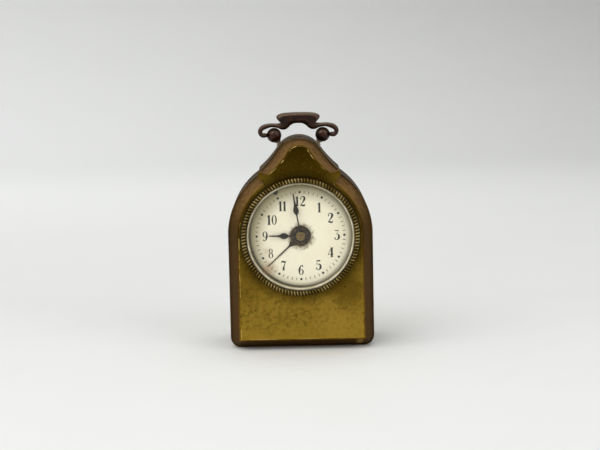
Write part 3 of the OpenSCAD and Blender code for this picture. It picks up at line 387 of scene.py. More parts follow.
def cloud(tree, size, detail=4, rough=0.6, warp=0, stretch=(1, 1, 1)):
    """Cloudy value about 0.5, in blobs of about a size in millimetres, drawn out where it is stretched."""
    grain = {"Scale": 1 / size, "Detail": detail, "Roughness": rough, "Distortion": warp}
    return add(tree, "TexNoise", {"Vector": millimetres(tree, stretch), **grain})


def near(tree, x, z):
    """Distance in millimetres from a place of the front."""
    at = millimetres(tree, (1, 0, 1))
    return add(tree, "VectorMath", {0: at, 1: (x, 0, z)}, "Value", operation="DISTANCE")


def rise(tree):
    """Height above the table in millimetres."""
    return add(tree, "SeparateXYZ", {0: millimetres(tree)}, 2)


def shifted(tree, value, other, amount):
    """A value made wavy by a cloudy one, by up to about an amount either way."""
    wave = add(tree, "MapRange", {0: other, 1: 0.3, 2: 0.7, 3: -amount, 4: amount})
    return add(tree, "Math", {0: value, 1: wave}, operation="ADD")


def spots(tree, spacing, share, size):
    """Round spots in some cells of a grid of this spacing: 1 in a spot of this radius, else 0. All in
    millimetres, and the share is the part of the cells that have one."""
    cells = {"Vector": millimetres(tree), "Scale": 1 / spacing}
    chance = add(tree, "SeparateColor", {"Color": add(tree, "TexVoronoi", cells, "Color")})
    has = add(tree, "Math", {0: chance, 1: share}, operation="LESS_THAN")
    off = add(tree, "TexVoronoi", cells, "Distance")
    inside = add(tree, "Math", {0: off, 1: size / spacing}, operation="LESS_THAN")
    return add(tree, "Math", {0: has, 1: inside}, operation="MULTIPLY")


def line(tree, a, b, wide):
    """1 on a slightly wandering line across the front, between two places (x, z), and 0 off it."""
    length, angle = hypot(b[0] - a[0], b[1] - a[1]), atan2(b[1] - a[1], b[0] - a[0])
    parts = millimetres(tree, shift=(-a[0], 0, -a[1]), turn=angle)
    across = shifted(tree, add(tree, "SeparateXYZ", {0: parts}, 2), cloud(tree, 6), 0.5)
    off = add(tree, "Math", {0: across}, operation="ABSOLUTE")
    on = add(tree, "MapRange", {0: off, 1: wide, 2: 0.3 * wide})
    middle = add(tree, "Math", {0: add(tree, "SeparateXYZ", {0: parts}), 1: length / 2}, operation="SUBTRACT")
    along = add(tree, "Math", {0: middle}, operation="ABSOLUTE")
    ends = add(tree, "MapRange", {0: along, 1: length / 2, 2: length / 2 - 2})
    return add(tree, "Math", {0: on, 1: ends}, operation="MULTIPLY")


def coat(tree, under, *layers):
    """Lays colours over another, one after the other. Each is (colour, value, start, full, strength) and comes in
    as its value passes from start to full, all of it where no strength is given."""
    for colour, value, start, full, *strength in layers:
        part = {0: value, 1: start, 2: full, 4: strength[0] if strength else 1}
        share = add(tree, "MapRange", part, interpolation_type="SMOOTHSTEP")
        under = add(tree, "Mix", {0: share, 6: under, 7: colour}, 2, data_type="RGBA")
    return under


def relief(tree, *heights):
    """Normal from heights, each (value, strength, range in millimetres), one on top of another."""
    normal = None
    for value, strength, mm in heights:
        inputs = {"Height": value, "Strength": strength, "Distance": mm * 0.001}
        normal = add(tree, "Bump", {**inputs, "Normal": normal} if normal else inputs)
    return normal


def put(obj, mat):
    """Gives the whole object one material."""
    obj.data.materials.clear()
    obj.data.materials.append(mat)
    return obj


# Each finish with a cache is made when a piece first asks for it, and kept for the others that ask for the same


@cache
def pressed_brass():
    """Sheet brass, pressed, lacquered and long tarnished: gold low down where it is handled, with painted
    highlights along the bottom and low on the right, olive towards the hood, painted shade round the bezel, and
    brown on the sloping border, which a painted highlight lights by the fold and painted shade darkens low down.
    All in cloudy stains of 12 mm and swirls of 2 mm, with small pits, a scratch, and a painted highlight along the
    fold, in patches, that also stands for bare bright metal on the rubbed edges."""
    own = bpy.context.scene.clock_finish
    mat, tree = new_tree("pressed_brass_patina")
    clouds, swirl = cloud(tree, 12, 5, 0.62, 0.6), cloud(tree, 1.6, 5, 0.7, 0.3)
    grit, height = cloud(tree, 0.45, 4, 0.7), rise(tree)
    pits, scratch = spots(tree, 2.4, 0.1, 0.3), line(tree, (-16.6, 8.6), (4.3, 17), 0.22)
    specks = ((-24.4, 14, 0.5), (-18.6, 16.4, 0.4), (-21.2, 15.2, 0.3), (13.6, 27.6, 0.4), (17.2, 25.4, 0.5))
    flat = coat(
        tree, own.brass,
        (own.patina, shifted(tree, height, clouds, 9), 16, 64),
        # The last layer here, paler gold along the lowest 10 mm, is a painted highlight
        ("#554009", swirl, 0.42, 0.68, 0.6), ("#c9ae5a", grit, 0.5, 0.75, 0.4), ("#a98930", height, 13, 3, 0.6),
        # Ears paler than the hood between them
        *(("#7a6420", near(tree, x, 66), 8, 3, 0.6) for x in (-15.5, 15.5)),
        ("#352501", height, 66, 82, 0.8),
        # Dull low on the left, and a painted highlight low on the right
        ("#5e480c", shifted(tree, near(tree, -24, 26), clouds, 4), 14, 4, 0.45),
        ("#b8953c", shifted(tree, near(tree, 14, 11), clouds, 4), 13, 3, 0.3),
        # Painted shade round the bezel, and a mottled patch beside it
        ("#2f2206", near(tree, 0, DIAL_Z), BEZEL_R + 5, BEZEL_R - 1, 0.8),
        ("#4a340a", shifted(tree, near(tree, 18, 24.5), swirl, 8), 8, 4, 0.55),
        *(("#2a1d08", near(tree, x, z), r, 0.5 * r, 0.8) for x, z, r in specks),
        ("#2e220a", pits, 0, 1, 0.6), ("#3c2b0a", scratch, 0, 1, 0.55))
    share = add(tree, "Attribute", {}, "Fac", attribute_name="border")
    # On the border, the gold next to the fold is a painted highlight, and the darker brown low down is painted
    # shade
    border = coat(
        tree, own.browned, ("#573d24", swirl, 0.35, 0.7, 0.8), ("#a88238", share, 0.45, 0.05, 0.65),
        ("#4a3503", height, 64, 46), ("#96752c", grit, 0.5, 0.8, 0.4), ("#30210c", share, 0.6, 1, 0.55))
    over_fold = add(tree, "MapRange", {0: shifted(tree, share, swirl, 0.05), 1: 0.02, 2: 0.24})
    colour = add(tree, "Mix", {0: over_fold, 6: flat, 7: border}, 2, data_type="RGBA")
    # Painted highlight along the fold, in patches as on rubbed brass, and a bright dent in the lower border
    patchy = add(tree, "MapRange", {0: cloud(tree, 5), 1: 0.4, 2: 0.62})
    edge = add(tree, "Attribute", {}, "Fac", attribute_name="edge")
    worn = add(tree, "Math", {0: patchy, 1: edge}, operation="MULTIPLY")
    colour = coat(tree, colour, ("#dcbd6c", worn, 0.1, 0.6, 0.9), ("#bfa055", near(tree, 23, 2.4), 1.7, 1, 0.6))
    # The browned border is duller and less like metal than the face
    metal = add(tree, "MapRange", {0: over_fold, 3: 1, 4: 0.45})
    return surface(mat, colour, (swirl, 0.34, 0.5), Metallic=metal,
                   Specular_IOR_Level=0.1, Specular_Tint="#b58d3c",
                   Normal=relief(tree, (clouds, 0.3, 0.5), (pits, 0.3, -0.06), (scratch, 0.4, -0.05),
                                 (grit, 0.2, 0.03)))


@cache
def rolled_brass():
    """Sheet brass of the band, rolled and left to tarnish: dull dark olive-brown, with streaks 1 mm wide along
    the way that it was rolled."""
    mat, tree = new_tree("rolled_brass_tarnished")
    clouds, streak = cloud(tree, 10, 5, 0.62, 0.3), cloud(tree, 1, stretch=(1, 0.12, 1))
    colour = coat(tree, "#55401f", ("#30210e", clouds, 0.35, 0.65), ("#6b5529", streak, 0.5, 0.72, 0.4))
    return surface(mat, colour, (clouds, 0.5, 0.65), Metallic=0.35, Specular_IOR_Level=0.1,
                   Normal=relief(tree, (clouds, 0.3, 0.4), (streak, 0.25, 0.03)))


@cache
def back_brass():
    """Sheet brass of the back and its door, rolled and satin-brushed: cleaner than the front, with dull stains
    and a few dark spots."""
    mat, tree = new_tree("satin_door_brass")
    clouds, brush = cloud(tree, 11, 5, 0.6, 0.3), cloud(tree, 1, stretch=(0.2, 1, 5))
    colour = coat(tree, "#ab8d40", ("#6f5722", clouds, 0.35, 0.68), ("#c7aa5c", brush, 0.5, 0.75, 0.5),
                  ("#35260d", spots(tree, 3.3, 0.14, 0.45), 0, 1, 0.5))
    return surface(mat, colour, (clouds, 0.3, 0.45), Metallic=0.85,
                   Normal=relief(tree, (clouds, 0.2, 0.4), (brush, 0.25, 0.03)))


@cache
def milled_brass():
    """Turned brass, milled round its bead: olive and dull in the grooves, where dirt stays, and bright on the ribs'
    crests, a painted highlight as well as metal rubbed bright there."""
    mat, tree = new_tree("milled_brass")
    clouds, crest = cloud(tree, 7), add(tree, "Attribute", {}, "Fac", attribute_name="crest")
    # The pale colour on the crests is a painted highlight as well as rubbed metal
    bright = coat(tree, "#b09d6c", ("#6d5a26", clouds, 0.38, 0.6))
    colour = coat(tree, "#4c3d14", ("#30240b", clouds, 0.35, 0.65), (bright, crest, 0.4, 0.95))
    rough = add(tree, "MapRange", {0: crest, 3: 0.55, 4: 0.32})
    return surface(mat, colour, rough, Metallic=1, Normal=relief(tree, (cloud(tree, 0.5), 0.2, 0.04)))


@cache
def browned_bronze():
    """Brass browned with acid and oiled: a warm red-black half gloss, with a painted paler grey sheen on what faces
    up, and red-brown grit where it is rubbed."""
    mat, tree = new_tree("browned_bronze")
    clouds, grit = cloud(tree, 4.5, 5, 0.62, 1), cloud(tree, 0.4, 4, 0.7)
    up = add(tree, "SeparateXYZ", {0: add(tree, "NewGeometry", {}, "Normal")}, 2)
    # Paler grey on what faces up is a painted sheen from above; the posts' thin stems, the last layer, are paler
    colour = coat(tree, "#3a1a0c", ("#190c05", clouds, 0.36, 0.62), ("#66523e", up, 0.12, 0.6, 0.7),
                  ("#70482e", grit, 0.56, 0.75, 0.3), ("#8f8068", rise(tree), 82.7, 82, 0.7))
    return surface(mat, colour, (clouds, 0.3, 0.45), Metallic=0.55, Normal=relief(tree, (grit, 0.25, 0.05)))


@cache
def silvered_brass():
    """Turned brass, silvered and gone cream, with a line of painted shade at its foot, where it meets the dial."""
    mat, tree = new_tree("silvered_brass")
    clouds = cloud(tree, 5)
    colour = coat(tree, "#faf1d8", ("#cdc19e", clouds, 0.35, 0.65),
                  ("#4c4223", near(tree, 0, DIAL_Z), DIAL_R + 0.42, DIAL_R + 0.2, 0.9))
    return surface(mat, colour, 0.3, Metallic=0.3, Normal=relief(tree, (clouds, 0.15, 0.1)))


@cache
def cream_enamel():
    """Enamel fired on brass: glossy cream, with painted shade from the bezel towards the rim, most at its top left,
    and rust stains round the hub and by the lower left numbers, and brown specks of 0.3 and 0.5 mm."""
    mat, tree = new_tree("cream_enamel")
    clouds, swirl = cloud(tree, 6, 5, 0.6, 0.5), cloud(tree, 1.1, 4, 0.7)
    stains = (("#75602e", 0.2, -0.4, 6.2, 3.6, 0.8), ("#a87c40", -12.5, -13, 4.2, 0.6, 0.5),
              ("#b38d50", -13.4, -6, 2.6, 0.2, 0.35))
    colour = coat(
        tree, bpy.context.scene.clock_finish.enamel,
        ("#fdf4d6", clouds, 0.35, 0.7),
        # Painted shade from the bezel: the enamel darkens to olive towards the rim, most at its top left
        ("#877a42", near(tree, 1.8, DIAL_Z - 2.2), 14.8, 22.6, 0.85),
        ("#5c5226", near(tree, 0, DIAL_Z), 18.6, DIAL_R, 0.6),
        # Shadowed joint to the ring at the lower left, and a chip at the upper left
        ("#3a3113", near(tree, 0.55, DIAL_Z + 0.35), 20.1, 20.7, 0.95),
        ("#241d08", near(tree, -9.6, DIAL_Z + 17.5), 1.2, 0.9),
        *((rust, shifted(tree, near(tree, x, DIAL_Z + z), swirl, 1.1), start, full, strength)
          for rust, x, z, start, full, strength in stains),
        ("#8a7038", spots(tree, 1.5, 0.1, 0.16), 0, 1, 0.5),
        ("#6b5225", spots(tree, 3.4, 0.12, 0.24), 0, 1, 0.5))
    return surface(mat, colour, 0.35, Coat_Weight=0.2, Coat_Roughness=0.12,
                   Normal=relief(tree, (clouds, 0.05, 0.1)))


@cache
def fired_print(name, ink, faded, size, start, full):
    """Ceramic ink, printed and fired: soft and dark, and faded in blobs of about a size in millimetres."""
    mat, tree = new_tree(name)
    return surface(mat, coat(tree, ink, (faded, cloud(tree, size), start, full)), 0.4)


@cache
def polished_glass():
    """Glass, blown and polished: clear, with a reflection that grows towards its edge. What isn't reflected is
    let through by the alpha."""
    mat, tree = new_tree("polished_glass")
    rim, smear = add(tree, "LayerWeight", {"Blend": 0.35}, "Facing"), cloud(tree, 9)
    alpha = add(tree, "MapRange", {0: rim, 1: 0.2, 2: 1, 3: 0.015, 4: 0.25})
    colour = coat(tree, "#f8faf6", ("#eef0e6", smear, 0.3, 0.7))
    return surface(mat, colour, 0.04, Alpha=alpha)


@cache
def browned_hands():
    """Stamped brass, browned nearly black, with brown brass where its ridges are rubbed."""
    mat, tree = new_tree("browned_hands")
    rub = cloud(tree, 0.8)
    colour = coat(tree, "#1d1610", ("#4a3722", rub, 0.45, 0.72))
    return surface(mat, colour, 0.42, Metallic=0.45, Normal=relief(tree, (rub, 0.2, 0.04)))


@cache
def oiled_brass():
    """Turned brass of the hub, brown with old oil, paler on its inner ring."""
    mat, tree = new_tree("oiled_hub_brass")
    rub = cloud(tree, 1.2)
    colour = coat(tree, "#2f2315", ("#5a482b", rub, 0.4, 0.66), ("#6f5e3c", near(tree, 0, DIAL_Z), 2.8, 2.3, 0.6))
    return surface(mat, colour, 0.4, Metallic=0.55, Normal=relief(tree, (rub, 0.2, 0.05)))


@cache
def filed_brass():
    """Brass with a filed end: pale and worn, with file marks 0.4 mm apart."""
    mat, tree = new_tree("filed_brass")
    marks = cloud(tree, 1.2, stretch=(1, 1, 3))
    colour = coat(tree, "#857040", ("#584722", marks, 0.4, 0.65))
    return surface(mat, colour, 0.36, Metallic=0.65, Normal=relief(tree, (marks, 0.3, 0.05)))


@cache
def cut_metal(name, bright, dark, rough, stretch):
    """Metal cut by a tool: streaks along the cut, 1.2 mm apart so that they show, over a faint cloud of 5 mm."""
    mat, tree = new_tree(name)
    streak, clouds = cloud(tree, 1.2, 3, stretch=stretch), cloud(tree, 5)
    colour = coat(tree, bright, (dark, clouds, 0.3, 0.7))
    return surface(mat, colour, (streak, rough, rough + 0.14), Metallic=1, Normal=relief(tree, (streak, 0.2, 0.02)))


# Finish of each node of the frame that shows as it is, with what the cut metals give the eye
NODE_FINISHES = (
    (rolled_brass, (), ["base_plate", "hinge_pin"]),
    (back_brass, (), ["back_frame", "rear_door", "door_knob"]),
    (cream_enamel, (), ["dial"]),
    (polished_glass, (), ["glass"]),
    (filed_brass, (), ["centre_cap"]),
    # Movement plates: rolled brass, brushed along and lacquered
    (cut_metal, ("brushed_plate_brass", "#cdae62", "#a08242", 0.3, (0.2, 1, 5)),
     ["case_posts", "front_plate", "back_plate", "plate_pillars", "balance_cock", "bell_post", "bell_nut"]),
    # Wheels, barrels, keys and knobs: lathe-cut brass, brighter than the plates
    (cut_metal, ("lathe_cut_brass", "#d6b768", "#ab8b46", 0.24, (1, 5, 1)),
     ["going_barrel", "going_key", "centre_wheel", "setting_knob", "minute_wheel", "hour_wheel", "third_wheel",
      "fourth_wheel", "escape_wheel", "balance_wheel", "alarm_barrel", "alarm_key", "alarm_escape_wheel",
      "alarm_setting_knob", "alarm_wheel"]),
    # Arbors, levers and ratchets: hardened steel, ground grey
    (cut_metal, ("ground_steel", "#a9abae", "#74767a", 0.3, (5, 1, 1)),
     ["going_arbor", "going_ratchet", "going_click", "centre_arbor", "cannon_pinion", "pallet_lever",
      "regulator", "alarm_arbor", "alarm_ratchet", "alarm_click", "hammer", "alarm_setting_arbor", "stop_lever"]),
    # Screws: polished steel, a little blue
    (cut_metal, ("polished_screw_steel", "#8b90a0", "#565c6c", 0.2, (1, 4, 1)),
     ["plate_screws", "cock_screws", "click_screws"]),
    # Springs: steel tempered to a dark blue
    (cut_metal, ("blued_spring_steel", "#5a6b8c", "#303a52", 0.28, (1, 5, 1)),
     ["going_mainspring", "alarm_mainspring", "hairspring"]),
    # Bell: thin spun steel, nickelled, with a soft shine
    (cut_metal, ("nickelled_bell_steel", "#b6b3aa", "#8d8a80", 0.2, (1, 1, 4)), ["bell"]),
)


def fit(obj, mat, body, *nodes, slot=None):
    """Gives a piece its finish and its body, and hides the nodes that it takes the place of. Its slot is not used.
    """
    put(obj, mat)
    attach(obj, body)
    if nodes:
        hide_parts(*nodes)


# Shapes of the pieces


def lathed(profile, origin, axis, steps=64):
    """Rows of a piece turned about any axis: each (radius, place along the axis) goes round it."""
    axis = np.asarray(axis, float) / np.linalg.norm(axis)
    u = np.cross(axis, [0, 1, 0])
    u /= np.linalg.norm(u)
    v, a = np.cross(axis, u), np.linspace(0, 2 * pi, steps, endpoint=False)[None, :, None]
    r, s = np.asarray(profile, float).T[:, :, None, None]
    return np.asarray(origin) + s * axis + r * (np.cos(a) * u + np.sin(a) * v)


def ring(centre, out, hole, y):
    """Rows of a printed ring between two ellipses, each given by its half sizes (x, z), with its front at y."""
    a = np.linspace(0, 2 * pi, 40, endpoint=False)
    circle = np.stack([np.cos(a), np.sin(a)], 1)
    outer, inner = centre + circle * out, centre + circle * hole
    return np.stack([at_y(outer, y), at_y(outer, PRINT_FOOT), at_y(inner, PRINT_FOOT), at_y(inner, y)])


def disc(centre, r, y, steps=32):
    """Rows of a printed dot with its front at y; its two faces are caps."""
    edge = arc(centre, r, 0, 360, steps + 1)[:-1]
    return np.stack([at_y(edge, y), at_y(edge, PRINT_FOOT)])


# Digits, thick and thin as engraved ones are, in hundredths of their height from the middle of their foot: strokes
# of (points, one width or each point's), balls of (centre, radius) and rings of (centre, half sizes, the hole's)
DIGITS = {
    "0": ([], [], [((0, 50), (26, 50), (12, 46.5))]),
    "1": ([([(0, 2), (0, 50), (0, 100)], 15), ([(-17, 1.5), (0, 1.5), (17, 1.5)], 3),
           ([(-19, 82), (-9, 86), (0, 97)], [3, 5, 7])], [], []),
    "2": ([([(-20, 76), (-12, 94), (4, 98), (19, 88), (20, 70), (8, 46), (-10, 24), (-22, 6)],
            [4, 5, 7, 14, 16, 10, 5, 4]),
           ([(-22, 6), (-10, 10), (5, 7), (16, 5), (24, 12), (26, 23)], [4, 10, 14, 12, 6, 3])],
          [((-16, 75), 7)], []),
    "3": ([([(-19, 96), (0, 96), (20, 96)], 6), ([(19, 95), (10, 78), (-1, 60)], 3),
           ([(-2, 60), (14, 57), (22, 42), (21, 20), (8, 4), (-8, 2), (-20, 13)], [3, 7, 14, 15, 7, 4, 4])],
          [((-17, 18), 7)], []),
    "4": ([([(8, 100), (-10, 65), (-28, 30)], [3, 4, 3]), ([(-29, 29), (0, 29), (28, 29)], 4),
           ([(10, 2), (10, 50), (10, 100)], 15), ([(-5, 1.5), (10, 1.5), (25, 1.5)], 3)], [], []),
    "5": ([([(-14, 94), (3, 94), (20, 95)], 10), ([(-14, 95), (-15, 75), (-16, 55)], 3.5),
           ([(-16, 55), (-2, 61), (13, 58), (22, 42), (20, 18), (7, 3), (-9, 2), (-20, 13)],
            [3, 5, 9, 15, 15, 6, 4, 4])], [((-17, 18), 7)], []),
    "6": ([([(-17, 30), (-18, 55), (-8, 83), (6, 97), (18, 93)], [13, 14, 9, 5, 4])], [((16, 87), 6.5)],
          [((0, 30), (25, 30), (12, 26.5))]),
    "7": ([([(-22, 78), (-20, 91), (-10, 95), (4, 89), (15, 89), (24, 98)], [4, 8, 12, 13, 9, 4]),
           ([(23, 97), (7, 60), (-2, 28), (-3, 2)], [3, 6, 13, 16])], [], []),
    "8": ([], [], [((0, 74.5), (19, 25), (9, 22.5)), ((0, 27), (24, 27), (12, 24))]),
    "9": ([([(17, 70), (18, 45), (8, 17), (-6, 3), (-18, 7)], [13, 14, 9, 5, 4])], [((-16, 13), 6.5)],
          [((0, 70), (25, 30), (12, 26.5))]),
}


def write_number(solid, text, centre, tall):
    """Adds a number's strokes to a solid, upright and raised by a few hundredths of a millimetre. Each stroke
    stands a little higher than the last, so that no two faces share a plane."""
    tops = (PRINT_Y - 0.003 * k for k in count())
    # Two digits stand side by side, and two ones closer than the rest
    apart = (42 if text == "11" else 53) if len(text) > 1 else 0
    unit, bold = tall / 100, 1.3
    for k, digit in enumerate(text):
        place = np.array([centre[0] + (k - 0.5) * apart * unit, centre[1] - tall / 2])
        strokes, balls, rings = DIGITS[digit]
        for points, widths in strokes:
            path, width = curve(points, widths, 26)
            solid.add(stroke(place + path * unit, bold * width * unit, next(tops)), "cols")
        for at, r in balls:
            solid.add(disc(place + np.array(at) * unit, r * unit, next(tops), 20), "rows")
        for at, *halves in rings:
            out, hole = np.array(halves) * unit
            solid.add(ring(place + np.array(at) * unit, out, hole, next(tops)))


def blade(stations, angle, y_back, thick):
    """Rows of a hand: a flat back and a front that rises to a ridge, whose half width changes along its length,
    as given by (place, half width) stations."""
    path, half = curve([(s, 0) for s, _ in stations], [w for _, w in stations], 90)
    a = radians(angle)
    middle = [0, DIAL_Z] + path[:, :1] * [cos(a), sin(a)]
    across = half[:, None] * [-sin(a), cos(a)]
    # Round the section: (places across, places forward)
    section = ((-1, 0), (1, 0), (1, 0.5), (0, 1), (-1, 0.5))
    return np.stack([at_y(middle + way * across, y_back - part * thick) for way, part in section])


# Operators


class CLOCK_OT_studio(Operator):
    """Camera at the photograph's angle, pale table that curves up behind, and soft light from the left"""

    bl_idname = "clock.studio"
    bl_label = "Studio"

    def execute(self, context):
        scene = context.scene
        look_at = Vector((-0.0001, FACE_Y * 0.001, 0.0504))
        rise_angle, roll, away = radians(7.25), radians(1.2), 0.559
        back = Vector((0, -cos(rise_angle), sin(rise_angle)))
        data = bpy.data.cameras.new("camera")
        data.lens, data.sensor_width, data.clip_start, data.clip_end = 85, 36, 0.01, 20
        cam = bpy.data.objects.new("camera", data)
        turn = back.to_track_quat("Z", "Y").to_matrix().to_4x4() @ Matrix.Rotation(-roll, 4, "Z")
        cam.matrix_world = Matrix.Translation(look_at + away * back) @ turn
        scene.collection.objects.link(cam)
        scene.camera = cam

        # Table and backdrop in one sheet with a wide bend
        bend_y, bend_r, near_y, top_z, half, columns, sunk = 900, 500, -1600, 1600, 1800, 13, 0.02
        bend = arc([bend_y, bend_r - sunk], bend_r, -90, 0, 24)
        path = np.concatenate([[[near_y, -sunk], [0, -sunk]], bend, [[bend_y + bend_r, top_z]]])
        points = [(x, y, z) for y, z in path for x in np.linspace(-half, half, columns)]
        sheet = mesh_object("floor", points, grid_faces(len(path), columns, False, False))
        mat, tree = new_tree("matt_paper")
        colour = coat(tree, scene.clock_finish.floor, ("#ebebe8", cloud(tree, 60), 0.4, 0.7, 0.3))
        # The backdrop's own light, for the camera alone, is stronger far off and less high up and to the right
        parts = [add(tree, "SeparateXYZ", {0: millimetres(tree)}, k) for k in range(3)]
        right_less = add(tree, "Math", {0: parts[0], 1: -0.0003, 2: 0.205}, operation="MULTIPLY_ADD")
        level = add(tree, "Math", {0: parts[2], 1: -0.0008, 2: right_less}, operation="MULTIPLY_ADD")
        far = add(tree, "MapRange", {0: parts[1], 1: 60, 2: 700}, interpolation_type="SMOOTHSTEP")
        seen = add(tree, "Math", {0: far, 1: add(tree, "LightPath", {}, "Is Camera Ray")}, operation="MULTIPLY")
        glow = add(tree, "Math", {0: level, 1: seen}, operation="MULTIPLY")
        surface(mat, colour, 0.7, Emission_Color="#f7f9fb", Emission_Strength=glow)
        put(sheet, mat)

        world = bpy.data.worlds.new("studio")
        scene.world = world
        world.use_nodes = True
        sky = world.node_tree.nodes["Background"].inputs
        sky["Color"].default_value, sky["Strength"].default_value = srgb("#dcdedd"), 0.5
        lamps = (("key", (-0.55, -0.5, 0.75), (1, 1), 6.2), ("fill", (0.7, -0.6, 0.45), (0.6, 0.8), 3),
                 ("top", (0, 0.15, 0.9), (0.8, 0.6), 2.2))
        for name, place, size, power in lamps:
            lamp = bpy.data.lights.new(name, "AREA")
            lamp.shape, lamp.size, lamp.size_y, lamp.energy = "RECTANGLE", size[0], size[1], power
            obj = bpy.data.objects.new(name, lamp)
            obj.location = place
            obj.rotation_euler = (Vector((0, 0, 0.045)) - Vector(place)).to_track_quat("-Z", "Y").to_euler()
            scene.collection.objects.link(obj)
        scene.view_settings.view_transform = "Standard"
        return {"FINISHED"}


class CLOCK_OT_front(Operator):
    """Pressed front: flat face with its hole, sloping border with mitred lower corners, ogee hood with flat ears"""

    bl_idname = "clock.front"
    bl_label = "Pressed front"

    def execute(self, context):
        deep = BAND_Y - FACE_Y
        loop, ear = front_loop(-0.1)
        centre = np.array([0, DIAL_Z])
        hole = centre + HOLE_R * (loop - centre) / np.linalg.norm(loop - centre, axis=1, keepdims=True)
        # Rows from the hole to the fold, each with its share of the border's width; those of the flat are under 0
        flat = (0, 0.04, 0.12, 0.25, 0.45, 0.7, 0.9, 1)
        rows, share = [at_y(hole * (1 - t) + loop * t, FACE_Y) for t in flat], [t - 1.1 for t in flat]
        # The fold is rounded; ears stay flat up to their own edge
        for s in (-0.05, -0.025, 0, 0.025, 0.05, *np.linspace(0.1, 0.9, 9), 0.96, 0.995):
            fall = deep * (s + np.hypot(s, 0.03)) / 2
            rows.append(at_y(front_loop(s)[0], FACE_Y + np.where(ear > 0, 0, fall)))
            share.append(s)
        # The lip, and the inner side back to the hole
        edge, wall = front_loop(1)[0], 0.9
        rows += [at_y(edge, BAND_Y), at_y(shrink(edge, 0.7), BAND_Y)]
        for s in (0.9, 0.6, 0.3, 0.12):
            rows.append(at_y(shrink(front_loop(s)[0], wall), FACE_Y + np.where(ear > 0, SHEET, deep * s)))
        inner = shrink(front_loop(0)[0], wall)
        rows += [at_y(hole * (1 - t) + inner * t, FACE_Y + SHEET) for t in (0.9, 0.5, 0)]
        rows = np.stack(rows)
        share = np.array(share + [1] * (len(rows) - len(share)))[:, None]
        obj = Solid().add(rows).make("pressed_front", 40)
        value_on(obj, "border", np.where(ear > 0, 0, np.clip(share, 0, 1)))
        # Painted highlight along the fold, partly rubbed brass: strongest low on the left and round the hood,
        # weaker elsewhere
        low_left = 1 / (1 + np.exp((rows[..., 0] + rows[..., 2] - 22) / 8))
        rubbed = np.maximum(0.25 + 0.75 * low_left, np.where(rows[..., 2] > 66, 0.95, 0))
        value_on(obj, "edge", np.exp(-(share / 0.04) ** 2) * rubbed * np.where(ear > 0, 0.4, 1))
        fit(obj, pressed_brass(), "case", "front_shell", slot="case_brass")
        return {"FINISHED"}


class CLOCK_OT_band(Operator):
    """Band of sheet brass round the sides, the arch and the roof, with rounded edges"""

    bl_idname = "clock.band"
    bl_label = "Case band"

    def execute(self, context):
        # (depth under the outside, y), round the sheet's section
        section = [(0.25, BAND_Y + 0.02), (0.07, BAND_Y + 0.09), (0, BAND_Y + 0.3),
                   *((0, y) for y in np.linspace(BAND_Y + 2, BACK_Y - 2, 8)),
                   (0, BACK_Y - 0.3), (0.07, BACK_Y - 0.08), (0.25, BACK_Y), (SHEET, BACK_Y),
                   (SHEET, BAND_Y + 0.02)]
        # The lower corners grow rounder towards the back, where they meet the frame of the door
        turns = [CORNER_R + (BACK_CORNER_R - CORNER_R) * (y - BAND_Y) / (BACK_Y - BAND_Y) for _, y in section]
        rows = np.stack([at_y(band_path(inset, turn), y) for (inset, y), turn in zip(section, turns)])
        obj = Solid().add(rows, "cols").make("case_sides")
        fit(obj, rolled_brass(), "case", "case_band", slot="case_band_brass")
        return {"FINISHED"}


class CLOCK_OT_bezel(Operator):
    """Milled bezel: a rounded bead with slightly slanted ribs, and a plain neck in the face's hole"""

    bl_idname = "clock.bezel"
    bl_label = "Milled bezel"

    def execute(self, context):
        shape = context.scene.clock_shape
        outer = BEZEL_R - 0.3
        bead_r = (outer - NECK_R) / 2
        middle, top = outer - bead_r, BEZEL_Y + bead_r
        turn = np.radians(np.linspace(-8, 188, 25))[:, None]
        a = np.arange(8 * shape.ribs) / (8 * shape.ribs) * 2 * pi
        # The bead's radius dips in a wave round the bezel, slanted a little over the bead; the milling is deepest
        # on the crest and runs out at the neck
        deep = np.clip(1.25 * np.cos((turn - radians(75)) * 0.8), 0, 1)
        groove = 0.5 - 0.5 * np.cos(a * shape.ribs + 0.9 * (turn - radians(90)))
        r = bead_r - shape.rib_deep * deep * groove ** 1.5
        out = middle + r * np.cos(turn)
        bead = np.stack([out * np.cos(a), top - r * np.sin(turn), DIAL_Z + out * np.sin(a)], -1)
        foot = turned([(outer - 0.04, FACE_Y - 0.001), (outer - 0.02, top + 0.4)], len(a))
        neck = turned([(NECK_R, top + 0.3), (NECK_R, FACE_Y + 1.5), (HOLE_R - 0.02, FACE_Y + 1.5),
                       (HOLE_R - 0.02, FACE_Y - 0.001)], len(a))
        obj = Solid().add(np.concatenate([foot, bead, neck])).make("milled_bezel")
        # How high each point stands: 1 on a rib's crest, 0 in a groove and off the bead
        crest = np.zeros((len(foot) + len(bead) + len(neck), len(a)))
        crest[len(foot):-len(neck)] = (1 - groove) ** 2 * deep
        value_on(obj, "crest", crest)
        fit(obj, milled_brass(), "case", "bezel", slot="bezel_brass")
        return {"FINISHED"}


class CLOCK_OT_ring(Operator):
    """Silvered sight ring between the bezel and the dial, with a bead and a groove"""

    bl_idname = "clock.ring"
    bl_label = "Sight ring"

    def execute(self, context):
        section = [(21.35, 2.35), (21.35, -0.75), (21.25, -0.88), (21.05, -0.9), (20.9, -0.75), (20.72, 0),
                   (20.62, 0.4), (20.5, 0.5), (20.42, 0.7), (20.34, 1.6), (DIAL_R, 2.05), (DIAL_R, 2.35)]
        obj = Solid().add(turned([(r, FACE_Y + y) for r, y in section], 240)).make("sight_ring_turned", 50)
        fit(obj, silvered_brass(), "case", "sight_ring", slot="ring_silver")
        return {"FINISHED"}


